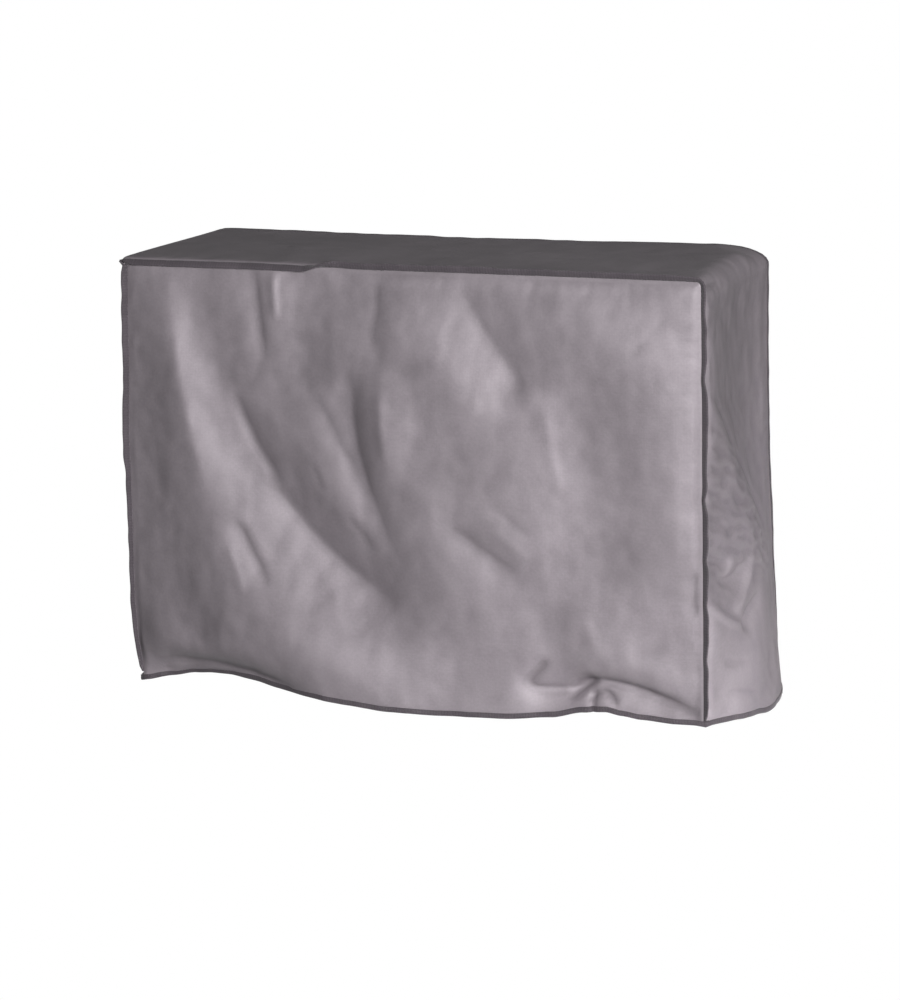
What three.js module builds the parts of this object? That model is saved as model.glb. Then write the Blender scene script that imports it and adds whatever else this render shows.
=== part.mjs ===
import * as THREE from 'three';

// Fitted cloth cover, hollow and open at the bottom.
// X runs to the right, Y to the back and Z up, in millimetres.
// The origin is the centre of the underside of the top.

// Main sizes
const WIDTH = 850;
const DEPTH = 315;
const HEIGHT = 600;
const CLOTH = 2;
const GAP = 0.3;
// Extra play where the edges of two pieces are divided differently
const PLAY = 0.45;

// Soft corners of the strip, as radii from the front to the back
const LEFT_CORNER = [
  { deep: 0, radius: 7 },
  { deep: 315, radius: 12 },
];
const RIGHT_CORNER = [
  { deep: 0, radius: 8 },
  { deep: 90, radius: 24 },
  { deep: 315, radius: 24 },
];

// Seam tapes stand off the corners, the hem tape hangs under the edges
const FRONT_TAPE = { width: 9.5, thick: 3, ripple: 0.8 };
const BACK_TAPE = { width: 7, thick: 3, ripple: 0.5 };
const HEM_TAPE = { tall: 8, thick: 3 };
const TAPE_END_ABOVE_HEM = 6;
// Lengths of the two ripples along a tape's free edge, over which the ripple turns by one radian
const RIPPLE = { broad: 23, small: 9.5, share: 0.6 };
// Lean of the tapes from straight ahead in degrees, with the sway that makes it uneven.
// The front tape tips forward over the panel on its left run over the top, up to hangsTo.
const FRONT_LEAN = { stands: 45, hangs: 4, hangsTo: -150, fade: 60 };
const BACK_LEAN = { stands: 48, sway: 6, every: 37 };
const FRONT_SWAY = { broad: 7, broadEvery: 41, small: 5, smallEvery: 17, whereHanging: 0.8 };

// The relief dies out towards a seam over this distance
const SEAM_FADE = 12;
// Radius that rounds the crests and troughs of the folds
const FOLD_ROUND = 16;
// Distance between drape points along a fold, and along a seam
const FOLD_STEP = 36;
const SEAM_STEP = 75;
// How closely the cloth follows the drape points, where 0 is exactly
const SLACK = 4;

// Cells of each sheet
const FRONT_CELLS = { across: 52, up: 36 };
const BACK_CELLS = { across: 20, up: 16 };
const STRIP_CELLS = { left: 20, corner: 4, top: 14, right: 24, deep: 12 };
const TAPE_STEPS = { left: 26, corner: 5, top: 40, right: 26 };
// Share of a panel's rows that lie at its rounded top corners, and how much closer the rows are at the hem
const CORNER_ROWS = 0.12;
const HEM_CLOSER = 1.2;
// A panel's top corners are rounded over this height
const FRONT_ROUNDED = 6;
const BACK_ROUNDED = 24;

// Front folds. Each end or middle of a fold is [from the left seam, above the hem level, outward].
const FRONT_FOLDS = [
  { name: 'swag crest', start: [64, 585, 5], middle: [92, 440, 25], end: [138, 272, 36] },
  { name: 'swag crest, low', start: [160, 213, 42], middle: [182, 154, 49], end: [214, 100, 58] },
  { name: 'left hollow', start: [24, 520, 6], middle: [40, 330, 10], end: [34, 120, 11] },
  { name: 'left hollow, low', start: [70, 200, 18], middle: [96, 120, 26], end: [120, 70, 33] },
  { name: 'swag trough, upper', start: [112, 560, 5], middle: [140, 480, 7], end: [170, 418, 7] },
  { name: 'swag trough, lower', start: [176, 400, 7], middle: [254, 270, 10], end: [394, 140, 25] },
  { name: 'swag band', start: [118, 440, 18], middle: [188, 290, 20], end: [298, 140, 37] },
  { name: 'rib by the trough', start: [200, 415, 14], middle: [310, 300, 24], end: [456, 164, 34] },
  { name: 'slit trough', start: [208, 584, 2], middle: [216, 530, 6], end: [230, 474, 9] },
  { name: 'slit crest', start: [232, 586, 8], middle: [238, 530, 14], end: [254, 470, 14] },
  { name: 'top hollow', start: [300, 574, 6], middle: [298, 510, 15], end: [284, 440, 17] },
  { name: 'middle rib', start: [318, 424, 28], middle: [342, 350, 29], end: [366, 262, 31] },
  { name: 'deep trough', start: [352, 450, 26], middle: [374, 346, 27], end: [402, 232, 28] },
  { name: 'deep crest', start: [400, 456, 38], middle: [404, 396, 47], end: [412, 336, 45] },
  { name: 'lower crest', start: [470, 304, 43], middle: [480, 250, 46], end: [504, 170, 40] },
  { name: 'top trough', start: [384, 586, 4], middle: [386, 530, 17], end: [378, 480, 24] },
  { name: 'top crest', start: [418, 586, 9], middle: [424, 530, 27], end: [420, 480, 33] },
  { name: 'middle hollow', start: [446, 470, 34], middle: [456, 400, 42], end: [452, 330, 40] },
  { name: 'billow crest', start: [440, 584, 10], middle: [486, 522, 29], end: [550, 430, 40] },
  { name: 'billow fall', start: [500, 586, 3], middle: [562, 520, 13], end: [612, 452, 18] },
  { name: 'billow rise', start: [560, 576, 8], middle: [606, 530, 19], end: [654, 470, 23] },
  { name: 'mid crest', start: [510, 400, 41], middle: [512, 340, 38], end: [520, 290, 37] },
  { name: 'tall rib', start: [618, 440, 29], middle: [632, 372, 26], end: [646, 308, 25] },
  { name: 'tall fall', start: [670, 428, 19], middle: [680, 362, 14], end: [692, 304, 15] },
  { name: 'corner crest', start: [660, 580, 11], middle: [706, 550, 20], end: [752, 500, 23] },
  { name: 'far trough', start: [718, 440, 17], middle: [728, 330, 11], end: [714, 190, 13] },
  { name: 'right crest', start: [800, 574, 10], middle: [808, 390, 17], end: [808, 150, 8] },
  { name: 'nick trough', start: [512, 252, 39], middle: [550, 222, 31], end: [592, 190, 25] },
  { name: 'nick crest', start: [540, 270, 38], middle: [584, 236, 35], end: [624, 198, 25] },
  { name: 'falling rib', start: [500, 236, 43], middle: [556, 182, 35], end: [636, 120, 19] },
  { name: 'lower middle', start: [465, 112, 41], middle: [548, 84, 33], end: [620, 66, 19] },
  { name: 'belly', start: [272, 100, 63], middle: [332, 72, 64], end: [392, 40, 62] },
  { name: 'left turn', start: [28, 32, 12], middle: [119, 52, 37], end: [245, 32, 61] },
  { name: 'right turn', start: [646, 50, 13], middle: [716, 52, 8], end: [834, 28, -1] },
  { name: 'lower right', start: [690, 92, 18], middle: [763, 84, 15], end: [821, 64, 8] },
  { name: 'hem, left', start: [42, 5, 0], middle: [136, 18, 26], end: [232, 10, 52] },
  { name: 'hem, middle', start: [290, 12, 62], middle: [378, 0, 66], end: [475, -7, 53] },
  { name: 'hem, right', start: [522, -8, 43], middle: [577, -7, 33], end: [640, -6, 22] },
  { name: 'hem, corner', start: [665, -3, 18], middle: [720, 6, 16], end: [808, -3, 4] },
];

// Folds of the right side, each place is [from the front, above the hem level, outward]
const RIGHT_FOLDS = [
  { name: 'front stripe', start: [17, 560, 4], middle: [19, 500, 5], end: [20, 446, 5] },
  { name: 'behind the stripe', start: [52, 540, 1], middle: [60, 500, 1], end: [80, 440, 1] },
  { name: 'drawn in', start: [190, 560, -6], middle: [200, 470, -8], end: [240, 370, -7] },
  { name: 'tight cloth', start: [60, 432, 2], middle: [150, 365, 1], end: [282, 235, 2] },
  { name: 'brow', start: [15, 424, 6], middle: [72, 366, 13], end: [160, 264, 22] },
  { name: 'cross trough', start: [12, 226, 1], middle: [60, 206, 13], end: [112, 206, 26] },
  { name: 'ridge', start: [24, 132, 12], middle: [72, 134, 28], end: [128, 160, 36] },
  { name: 'skirt rise', start: [30, 70, 13], middle: [62, 24, 27], end: [60, -8, 26] },
  { name: 'skirt crest', start: [150, 120, 40], middle: [156, 50, 42], end: [160, -26, 43] },
  { name: 'skirt back', start: [245, 170, 19], middle: [250, 80, 24], end: [254, -26, 28] },
];

// Plain folds of the two hidden sides
const LEFT_FOLDS = [
  { name: 'upper fold', start: [60, 450, 3], middle: [160, 330, 8], end: [250, 190, 6] },
  { name: 'lower fold', start: [90, 160, 8], middle: [180, 70, 9], end: [255, -20, 9] },
];
const BACK_FOLDS = [
  { name: 'left fold', start: [200, 500, 3], middle: [230, 300, 8], end: [250, 0, 12] },
  { name: 'middle trough', start: [420, 480, 0], middle: [410, 260, 2], end: [430, 20, 4] },
  { name: 'right fold', start: [640, 500, 3], middle: [610, 300, 9], end: [600, 0, 12] },
];

// Height of the front hem against the hem level
const FRONT_HEM = [
  { across: 0, up: -3 },
  { across: 42, up: 5 },
  { across: 84, up: 14 },
  { across: 115, up: 18 },
  { across: 152, up: 18 },
  { across: 196, up: 13 },
  { across: 230, up: 9 },
  { across: 290, up: 7 },
  { across: 350, up: 1 },
  { across: 410, up: -4 },
  { across: 475, up: -7 },
  { across: 575, up: -7 },
  { across: 640, up: -4 },
  { across: 680, up: 5 },
  { across: 715, up: 7 },
  { across: 735, up: 3 },
  { across: 763, up: 0 },
  { across: 808, up: -3 },
  { across: 850, up: -3 },
];
// The side hems drop from the front to the back
const SIDE_HEM = [
  { deep: 0, up: -3 },
  { deep: 50, up: -5 },
  { deep: 82, up: -8 },
  { deep: 113, up: -12 },
  { deep: 147, up: -18 },
  { deep: 207, up: -24 },
  { deep: 260, up: -27 },
  { deep: 315, up: -28 },
];
// The left front seam is drawn in at both ends and bows outward between them
const LEFT_BOW = [
  { up: -40, out: -6 },
  { up: 0, out: -5 },
  { up: 60, out: 3 },
  { up: 110, out: 6 },
  { up: 330, out: 3 },
  { up: 500, out: -3 },
  { up: 560, out: -3 },
  { up: 600, out: 0 },
];
// Share of that bow that is left at the back
const BOW_AT_BACK = 0.5;
// The right back edge flares to the right and to the back
const BACK_FLARE = [
  { up: -40, right: 12, back: 12 },
  { up: 60, right: 9, back: 10 },
  { up: 180, right: 5, back: 6 },
  { up: 320, right: 1, back: 2 },
  { up: 420, right: 0, back: 0 },
  { up: 600, right: 0, back: 0 },
];

const smooth = (t) => {
  const s = Math.min(Math.max(t, 0), 1);
  return s * s * (3 - 2 * s);
};
const mix = (a, b, t) => a + (b - a) * t;

// Reads a column of a table at a place between its rows, with rounded steps between them
function along(table, key, column, at) {
  let row = 0;
  while (row < table.length - 2 && at > table[row + 1][key]) {
    row += 1;
  }
  const low = table[row];
  const high = table[row + 1];
  const share = (at - low[key]) / (high[key] - low[key]);
  return mix(low[column], high[column], 0.5 * smooth(share) + 0.5 * Math.min(Math.max(share, 0), 1));
}

// Places along a fold, on the curve through its start, middle and end
function placesOnFold({ start, middle, end }) {
  const length = Math.hypot(end[0] - start[0], end[1] - start[1]);
  const count = Math.max(2, Math.round(length / FOLD_STEP));
  const places = [];
  for (let i = 0; i <= count; i += 1) {
    const t = i / count;
    const weights = [(1 - t) * (1 - 2 * t), 4 * t * (1 - t), t * (2 * t - 1)];
    places.push([0, 1, 2].map((k) => weights[0] * start[k] + weights[1] * middle[k] + weights[2] * end[k]));
  }
  return places;
}

// Places on the seams, where the cloth is held: both sides and, unless it is open, the top
function placesOnSeams(wide, low, high) {
  const places = [];
  const steps = Math.round((high - low) / SEAM_STEP);
  for (let i = 0; i <= steps; i += 1) {
    places.push([0, mix(low, high, i / steps), 0]);
    places.push([wide, mix(low, high, i / steps), 0]);
  }
  const columns = Math.round(wide / SEAM_STEP);
  for (let i = 1; i < columns; i += 1) {
    places.push([(wide * i) / columns, high, 0]);
  }
  return places;
}

// Solves rows * x = right by elimination, with the largest pivot first
function solve(rows, right) {
  const size = right.length;
  const table = rows.map((row, i) => [...row, right[i]]);
  for (let column = 0; column < size; column += 1) {
    let best = column;
    for (let row = column + 1; row < size; row += 1) {
      if (Math.abs(table[row][column]) > Math.abs(table[best][column])) {
        best = row;
      }
    }
    [table[column], table[best]] = [table[best], table[column]];
    for (let row = column + 1; row < size; row += 1) {
      const share = table[row][column] / table[column][column];
      for (let k = column; k <= size; k += 1) {
        table[row][k] -= share * table[column][k];
      }
    }
  }
  const result = new Array(size).fill(0);
  for (let row = size - 1; row >= 0; row -= 1) {
    let sum = table[row][size];
    for (let k = row + 1; k < size; k += 1) {
      sum -= table[row][k] * result[k];
    }
    result[row] = sum / table[row][row];
  }
  return result;
}

// Cloth spanned between its held seams and its folds.
// Gives the outward relief at a place, as a sum of rounded cones over the drape points.
function drape(folds, wide, low, high) {
  const places = [...placesOnSeams(wide, low, high), ...folds.flatMap(placesOnFold)];
  const cone = (x, z) => Math.sqrt(x * x + z * z + FOLD_ROUND * FOLD_ROUND);
  const rows = places.map((a, i) => {
    const row = places.map((b, j) => cone(a[0] - b[0], a[1] - b[1]) - (i === j ? SLACK : 0));
    return [...row, 1];
  });
  rows.push([...places.map(() => 1), 0]);
  const weights = solve(rows, [...places.map((place) => place[2]), 0]);
  return (x, z) => {
    let sum = weights[places.length];
    places.forEach((place, i) => {
      sum += weights[i] * cone(x - place[0], z - place[1]);
    });
    const fade = Math.min(x, wide - x, high - z) / SEAM_FADE;
    return sum * smooth(fade);
  };
}

// Lowest drape points of the front, and of the sides and the back
const FRONT_LOW = -5;
const SIDE_LOW = -25;

const frontRelief = drape(FRONT_FOLDS, WIDTH, FRONT_LOW, HEIGHT);
const rightRelief = drape(RIGHT_FOLDS, DEPTH, SIDE_LOW, HEIGHT);
const leftRelief = drape(LEFT_FOLDS, DEPTH, SIDE_LOW, HEIGHT);
const backRelief = drape(BACK_FOLDS, WIDTH, SIDE_LOW, HEIGHT);

const leftBow = (deepShare, up) => along(LEFT_BOW, 'up', 'out', up) * mix(1, BOW_AT_BACK, deepShare);

// Outline of the strip at a share of its depth, as seen from the front.
// Each station has its outer place, the way out of the cloth and its height above the hem level.
function stripStations(deepShare, cells, endAbove = 0) {
  const deep = deepShare * DEPTH;
  const hem = along(SIDE_HEM, 'deep', 'up', deep) + endAbove;
  const top = HEIGHT + CLOTH;
  const leftRadius = along(LEFT_CORNER, 'deep', 'radius', deep);
  const rightRadius = along(RIGHT_CORNER, 'deep', 'radius', deep);
  const half = WIDTH / 2;
  const stations = [];
  for (let i = 0; i < cells.left; i += 1) {
    const up = mix(hem, top - leftRadius, i / cells.left);
    const out = leftBow(deepShare, up) + leftRelief(deep, up);
    stations.push({ x: -half - out, up, outX: -1, outZ: 0 });
  }
  for (let i = 0; i <= cells.corner; i += 1) {
    const turn = (Math.PI / 2) * (i / cells.corner);
    const outX = -Math.cos(turn);
    const outZ = Math.sin(turn);
    const up = top - leftRadius + outZ * leftRadius;
    stations.push({ x: -half + leftRadius + outX * (leftRadius + leftRelief(deep, up)), up, outX, outZ });
  }
  for (let i = 1; i < cells.top; i += 1) {
    const x = mix(-half + leftRadius, half - rightRadius, i / cells.top);
    stations.push({ x, up: top, outX: 0, outZ: 1 });
  }
  for (let i = 0; i <= cells.corner; i += 1) {
    const turn = (Math.PI / 2) * (i / cells.corner);
    const outX = Math.sin(turn);
    const outZ = Math.cos(turn);
    const up = top - rightRadius + outZ * rightRadius;
    stations.push({ x: half - rightRadius + outX * (rightRadius + rightRelief(deep, up)), up, outX, outZ });
  }
  for (let i = 1; i <= cells.right; i += 1) {
    const up = mix(top - rightRadius, hem, i / cells.right);
    const flare = along(BACK_FLARE, 'up', 'right', up) * deepShare * deepShare;
    stations.push({ x: half + flare + rightRelief(deep, up), up, outX: 1, outZ: 0 });
  }
  return stations;
}

// The strip leans to the back with the flare on its right side
function stripY(station, deepShare) {
  const flare = station.x > 0 ? along(BACK_FLARE, 'up', 'back', station.up) * deepShare * deepShare : 0;
  const share = smooth(station.x / (WIDTH / 2));
  return -DEPTH / 2 + deepShare * DEPTH + flare * share;
}

// Closed sheet from two grids of places, the outer one and the inner one.
// Each cell is split along the way the folds run: falling with the columns, or rising with them.
function sheetGeometry({ outer, inner }, falling) {
  const rows = outer.length;
  const columns = outer[0].length;
  const positions = [];
  const faces = [];
  [outer, inner].forEach((grid) => grid.forEach((row) => row.forEach((place) => positions.push(...place))));
  const id = (side, row, column) => side * rows * columns + row * columns + column;
  const quad = (a, b, c, d) => faces.push(a, b, c, a, c, d);
  const cell = (a, b, c, d) => (falling ? quad(b, c, d, a) : quad(a, b, c, d));
  for (let row = 0; row < rows - 1; row += 1) {
    for (let column = 0; column < columns - 1; column += 1) {
      cell(id(0, row, column), id(0, row, column + 1), id(0, row + 1, column + 1), id(0, row + 1, column));
      cell(id(1, row, column), id(1, row + 1, column), id(1, row + 1, column + 1), id(1, row, column + 1));
    }
  }
  const endRow = rows - 1;
  const endColumn = columns - 1;
  for (let column = 0; column < endColumn; column += 1) {
    const next = column + 1;
    quad(id(0, 0, column), id(1, 0, column), id(1, 0, next), id(0, 0, next));
    quad(id(0, endRow, column), id(0, endRow, next), id(1, endRow, next), id(1, endRow, column));
  }
  for (let row = 0; row < endRow; row += 1) {
    const next = row + 1;
    quad(id(0, row, 0), id(0, next, 0), id(1, next, 0), id(1, row, 0));
    quad(id(0, row, endColumn), id(1, row, endColumn), id(1, next, endColumn), id(0, next, endColumn));
  }
  return geometryOf(positions, faces);
}

// Closed bar from sections of four corners each, with flat ends unless it closes on itself
function barGeometry(sections, closed) {
  const positions = sections.flatMap((section) => section.flat());
  const faces = [];
  const last = closed ? sections.length : sections.length - 1;
  for (let i = 0; i < last; i += 1) {
    const next = (i + 1) % sections.length;
    for (let k = 0; k < 4; k += 1) {
      const turn = (k + 1) % 4;
      faces.push(4 * i + k, 4 * next + k, 4 * next + turn);
      faces.push(4 * i + k, 4 * next + turn, 4 * i + turn);
    }
  }
  if (!closed) {
    const end = 4 * (sections.length - 1);
    faces.push(0, 1, 2, 0, 2, 3);
    faces.push(end, end + 2, end + 1, end, end + 3, end + 2);
  }
  return geometryOf(positions, faces);
}

// Geometry whose faces all look outward
function geometryOf(positions, faces) {
  let volume = 0;
  const corner = (index) => new THREE.Vector3(...positions.slice(3 * index, 3 * index + 3));
  for (let i = 0; i < faces.length; i += 3) {
    volume += corner(faces[i]).dot(corner(faces[i + 1]).cross(corner(faces[i + 2])));
  }
  const turned = [];
  for (let i = 0; i < faces.length; i += 3) {
    turned.push(faces[i], ...(volume < 0 ? [faces[i + 2], faces[i + 1]] : [faces[i + 1], faces[i + 2]]));
  }
  const geometry = new THREE.BufferGeometry();
  geometry.setAttribute('position', new THREE.Float32BufferAttribute(positions, 3));
  geometry.setIndex(turned);
  geometry.computeVertexNormals();
  return geometry;
}

// Left and right limits at a height of a flat panel that lies inside the strip, at one end of its depth
function panelLimits(deepShare, up) {
  const inset = CLOTH + GAP + PLAY;
  const top = HEIGHT + CLOTH;
  const half = WIDTH / 2;
  const deep = deepShare * DEPTH;
  const radii = [LEFT_CORNER, RIGHT_CORNER].map((corner) => along(corner, 'deep', 'radius', deep));
  const rounding = (radius) => {
    const rise = Math.max(0, up - (top - radius));
    const inner = radius - inset;
    return radius - inset - Math.sqrt(Math.max(0, inner * inner - rise * rise));
  };
  const bow = leftBow(deepShare, up);
  const flare = along(BACK_FLARE, 'up', 'right', up) * deepShare;
  return [-half - bow + inset + rounding(radii[0]), half + flare - inset - rounding(radii[1])];
}

// Heights of a panel's rows between its hem and its top edge, closer at the hem and at the top corners
function rowHeight(share, hem, cornerRadius) {
  const top = HEIGHT - GAP - PLAY;
  const bend = top - cornerRadius;
  const below = 1 - CORNER_ROWS;
  if (share > below) {
    const turn = ((share - below) / CORNER_ROWS) * (Math.PI / 2);
    return bend + cornerRadius * Math.sin(turn);
  }
  return mix(hem, bend, (share / below) ** HEM_CLOSER);
}

// Front or back panel. The relief goes out of the cover.
function panel(deepShare, cells, relief, hemAt, cornerRadius) {
  const side = deepShare === 0 ? -1 : 1;
  const outer = [];
  const inner = [];
  for (let row = 0; row <= cells.up; row += 1) {
    const outerRow = [];
    const innerRow = [];
    for (let column = 0; column <= cells.across; column += 1) {
      const nominal = (WIDTH * column) / cells.across;
      const up = rowHeight(row / cells.up, hemAt(nominal), cornerRadius);
      const [left, right] = panelLimits(deepShare, up);
      const x = mix(left, right, column / cells.across);
      const lean = deepShare * along(BACK_FLARE, 'up', 'back', up) * smooth(x / (WIDTH / 2));
      const y = side * (DEPTH / 2 + relief(nominal, up)) + lean;
      outerRow.push([x, y, up - HEIGHT]);
      innerRow.push([x, y - side * CLOTH, up - HEIGHT]);
    }
    outer.push(outerRow);
    inner.push(innerRow);
  }
  return { outer, inner };
}

// Strip over the left side, the top and the right side
function strip() {
  const outer = [];
  const inner = [];
  for (let row = 0; row <= STRIP_CELLS.deep; row += 1) {
    const deepShare = row / STRIP_CELLS.deep;
    const stations = stripStations(deepShare, STRIP_CELLS);
    outer.push(stations.map((s) => [s.x, stripY(s, deepShare), s.up - HEIGHT]));
    inner.push(stations.map((s) => [
      s.x - CLOTH * s.outX,
      stripY(s, deepShare),
      s.up - CLOTH * s.outZ - HEIGHT,
    ]));
  }
  return { outer, inner };
}

// Seam tape that stands off the corner between a panel and the strip.
// lean is its angle from straight ahead at a distance along it, in degrees.
function seamTape(deepShare, tape, lean) {
  const ahead = deepShare === 0 ? -1 : 1;
  const stations = stripStations(deepShare, TAPE_STEPS, TAPE_END_ABOVE_HEM);
  let run = 0;
  return stations.map((s, i) => {
    const before = stations[Math.max(i - 1, 0)];
    run += Math.hypot(s.x - before.x, s.up - before.up);
    const angle = THREE.MathUtils.degToRad(lean(run, s));
    const near = GAP + PLAY + 0.5 * tape.thick * Math.max(0, -Math.sin(angle)) / Math.cos(angle);
    const wave = Math.sin(run / RIPPLE.broad) + RIPPLE.share * Math.sin(run / RIPPLE.small);
    const far = near + tape.width + tape.ripple * wave;
    const place = (reach, offset) => {
      const forward = reach * Math.cos(angle) - offset * Math.sin(angle);
      const out = reach * Math.sin(angle) + offset * Math.cos(angle);
      return [
        s.x + out * s.outX,
        stripY(s, deepShare) + ahead * forward,
        s.up + out * s.outZ - HEIGHT,
      ];
    };
    const half = tape.thick / 2;
    return [place(near, -half), place(far, -half), place(far, half), place(near, half)];
  });
}

// Lean of the front tape. Its left run over the top tips forward over the panel.
function frontLean(run, station) {
  const broad = FRONT_SWAY.broad * Math.sin(run / FRONT_SWAY.broadEvery);
  const sway = broad + FRONT_SWAY.small * Math.sin(run / FRONT_SWAY.smallEvery);
  const fade = 1 - smooth((station.x - FRONT_LEAN.hangsTo) / FRONT_LEAN.fade);
  const hanging = FRONT_LEAN.hangs + FRONT_SWAY.whereHanging * sway;
  return mix(FRONT_LEAN.stands + sway, hanging, smooth(station.outZ) * fade);
}

const backLean = (run) => BACK_LEAN.stands + BACK_LEAN.sway * Math.sin(run / BACK_LEAN.every);

// Hem tape under all four lower edges, in plan view from the front left around to the left side
function hemTape(front, back, side) {
  const half = HEM_TAPE.thick / 2;
  const sections = [];
  const add = (place, outX, outY) => {
    const [x, y, z] = place;
    const top = z - GAP - PLAY;
    const low = top - HEM_TAPE.tall;
    sections.push([
      [x - half * outX, y - half * outY, top],
      [x + half * outX, y + half * outY, top],
      [x + half * outX, y + half * outY, low],
      [x - half * outX, y - half * outY, low],
    ]);
  };
  const middle = (sheet, row, column) => sheet.outer[row][column].map(
    (value, k) => (value + sheet.inner[row][column][k]) / 2,
  );
  const lastFront = front.outer[0].length - 1;
  const lastBack = back.outer[0].length - 1;
  const lastDeep = side.outer.length - 1;
  const lastStation = side.outer[0].length - 1;
  const corner = (row, column, outX, outY) => {
    const [x, y, z] = middle(side, row, column);
    add([x, y - outY * (CLOTH / 2), z], outX, outY);
  };
  corner(0, 0, -1, -1);
  for (let column = 1; column < lastFront; column += 1) {
    add(middle(front, 0, column), 0, -1);
  }
  corner(0, lastStation, 1, -1);
  for (let row = 1; row < lastDeep; row += 1) {
    add(middle(side, row, lastStation), 1, 0);
  }
  corner(lastDeep, lastStation, 1, 1);
  for (let column = lastBack - 1; column > 0; column -= 1) {
    add(middle(back, 0, column), 0, 1);
  }
  corner(lastDeep, 0, -1, 1);
  for (let row = lastDeep - 1; row > 0; row -= 1) {
    add(middle(side, row, 0), -1, 0);
  }
  return sections;
}

const cover = new THREE.Group();
cover.name = 'condenser_cover';

function addPiece(name, geometry, color, roughness) {
  const material = new THREE.MeshStandardMaterial({ color, roughness, metalness: 0 });
  const mesh = new THREE.Mesh(geometry, material);
  mesh.name = name;
  cover.add(mesh);
}

const frontHem = (across) => along(FRONT_HEM, 'across', 'up', across);
const frontSheet = panel(0, FRONT_CELLS, frontRelief, frontHem, FRONT_ROUNDED);
const backHem = SIDE_HEM[SIDE_HEM.length - 1].up;
const backSheet = panel(1, BACK_CELLS, backRelief, () => backHem, BACK_ROUNDED);
const stripSheet = strip();

addPiece('front_panel', sheetGeometry(frontSheet, true), 0x958e94, 0.55);
addPiece('gusset', sheetGeometry(stripSheet, false), 0x8a8389, 0.55);
addPiece('back_panel', sheetGeometry(backSheet, true), 0x958e94, 0.55);
addPiece('front_binding', barGeometry(seamTape(0, FRONT_TAPE, frontLean), false), 0x665f65, 0.8);
addPiece('back_binding', barGeometry(seamTape(1, BACK_TAPE, backLean), false), 0x665f65, 0.8);
addPiece('hem_binding', barGeometry(hemTape(frontSheet, backSheet, stripSheet), true), 0x676066, 0.8);

export default cover;
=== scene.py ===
import math

import bpy
import numpy as np
from bpy.props import FloatProperty, FloatVectorProperty, PointerProperty
from mathutils import Matrix, Vector, noise


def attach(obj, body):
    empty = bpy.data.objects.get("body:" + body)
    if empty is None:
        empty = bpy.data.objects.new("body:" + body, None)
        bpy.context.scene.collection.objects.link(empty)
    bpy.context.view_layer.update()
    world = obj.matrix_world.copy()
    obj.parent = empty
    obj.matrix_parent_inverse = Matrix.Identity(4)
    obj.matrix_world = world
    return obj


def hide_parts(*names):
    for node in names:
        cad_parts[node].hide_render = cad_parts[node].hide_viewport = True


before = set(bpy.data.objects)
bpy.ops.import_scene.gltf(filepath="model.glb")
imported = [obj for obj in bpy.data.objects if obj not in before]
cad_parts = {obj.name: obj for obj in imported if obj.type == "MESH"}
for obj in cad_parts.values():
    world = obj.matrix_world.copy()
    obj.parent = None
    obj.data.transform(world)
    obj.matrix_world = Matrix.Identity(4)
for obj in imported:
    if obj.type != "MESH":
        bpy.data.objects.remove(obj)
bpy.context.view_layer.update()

bl_info = {
    "name": "Fitted Cloth Cover",
    "version": (1, 0, 0),
    "blender": (4, 5, 0),
    "location": "View3D > Sidebar > Cover",
    "description": "Dresses the fitted cover: coated cloth panels, folded tapes, thread and a plain studio",
    "category": "Object",
}

MM = 0.001

# Main sizes in millimetres, as in the solids.
# X runs to the right, Y to the back, and heights are taken from the hem level, 600 below the origin.
WIDTH = 850.0
DEPTH = 315.0
HEIGHT = 600.0
SOLID_CLOTH = 2.0
# Bends from the top into the sides. Columns: deep, reach across, reach down, roundness (2 is a circle).
LEFT_CORNER = [(0, 7, 7, 2), (315, 12, 12, 2)]
RIGHT_CORNER = [(0, 8, 8, 2), (90, 27, 25, 2), (240, 27, 25, 2), (315, 72, 25, 2)]
# Cloth as it is sewn, its tuck inside the hem tape, and the room for its two layers inside a seam tape
CLOTH = 0.9
HEM_TUCK = 5.0
TAPE_SLOT = 1.0

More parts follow.
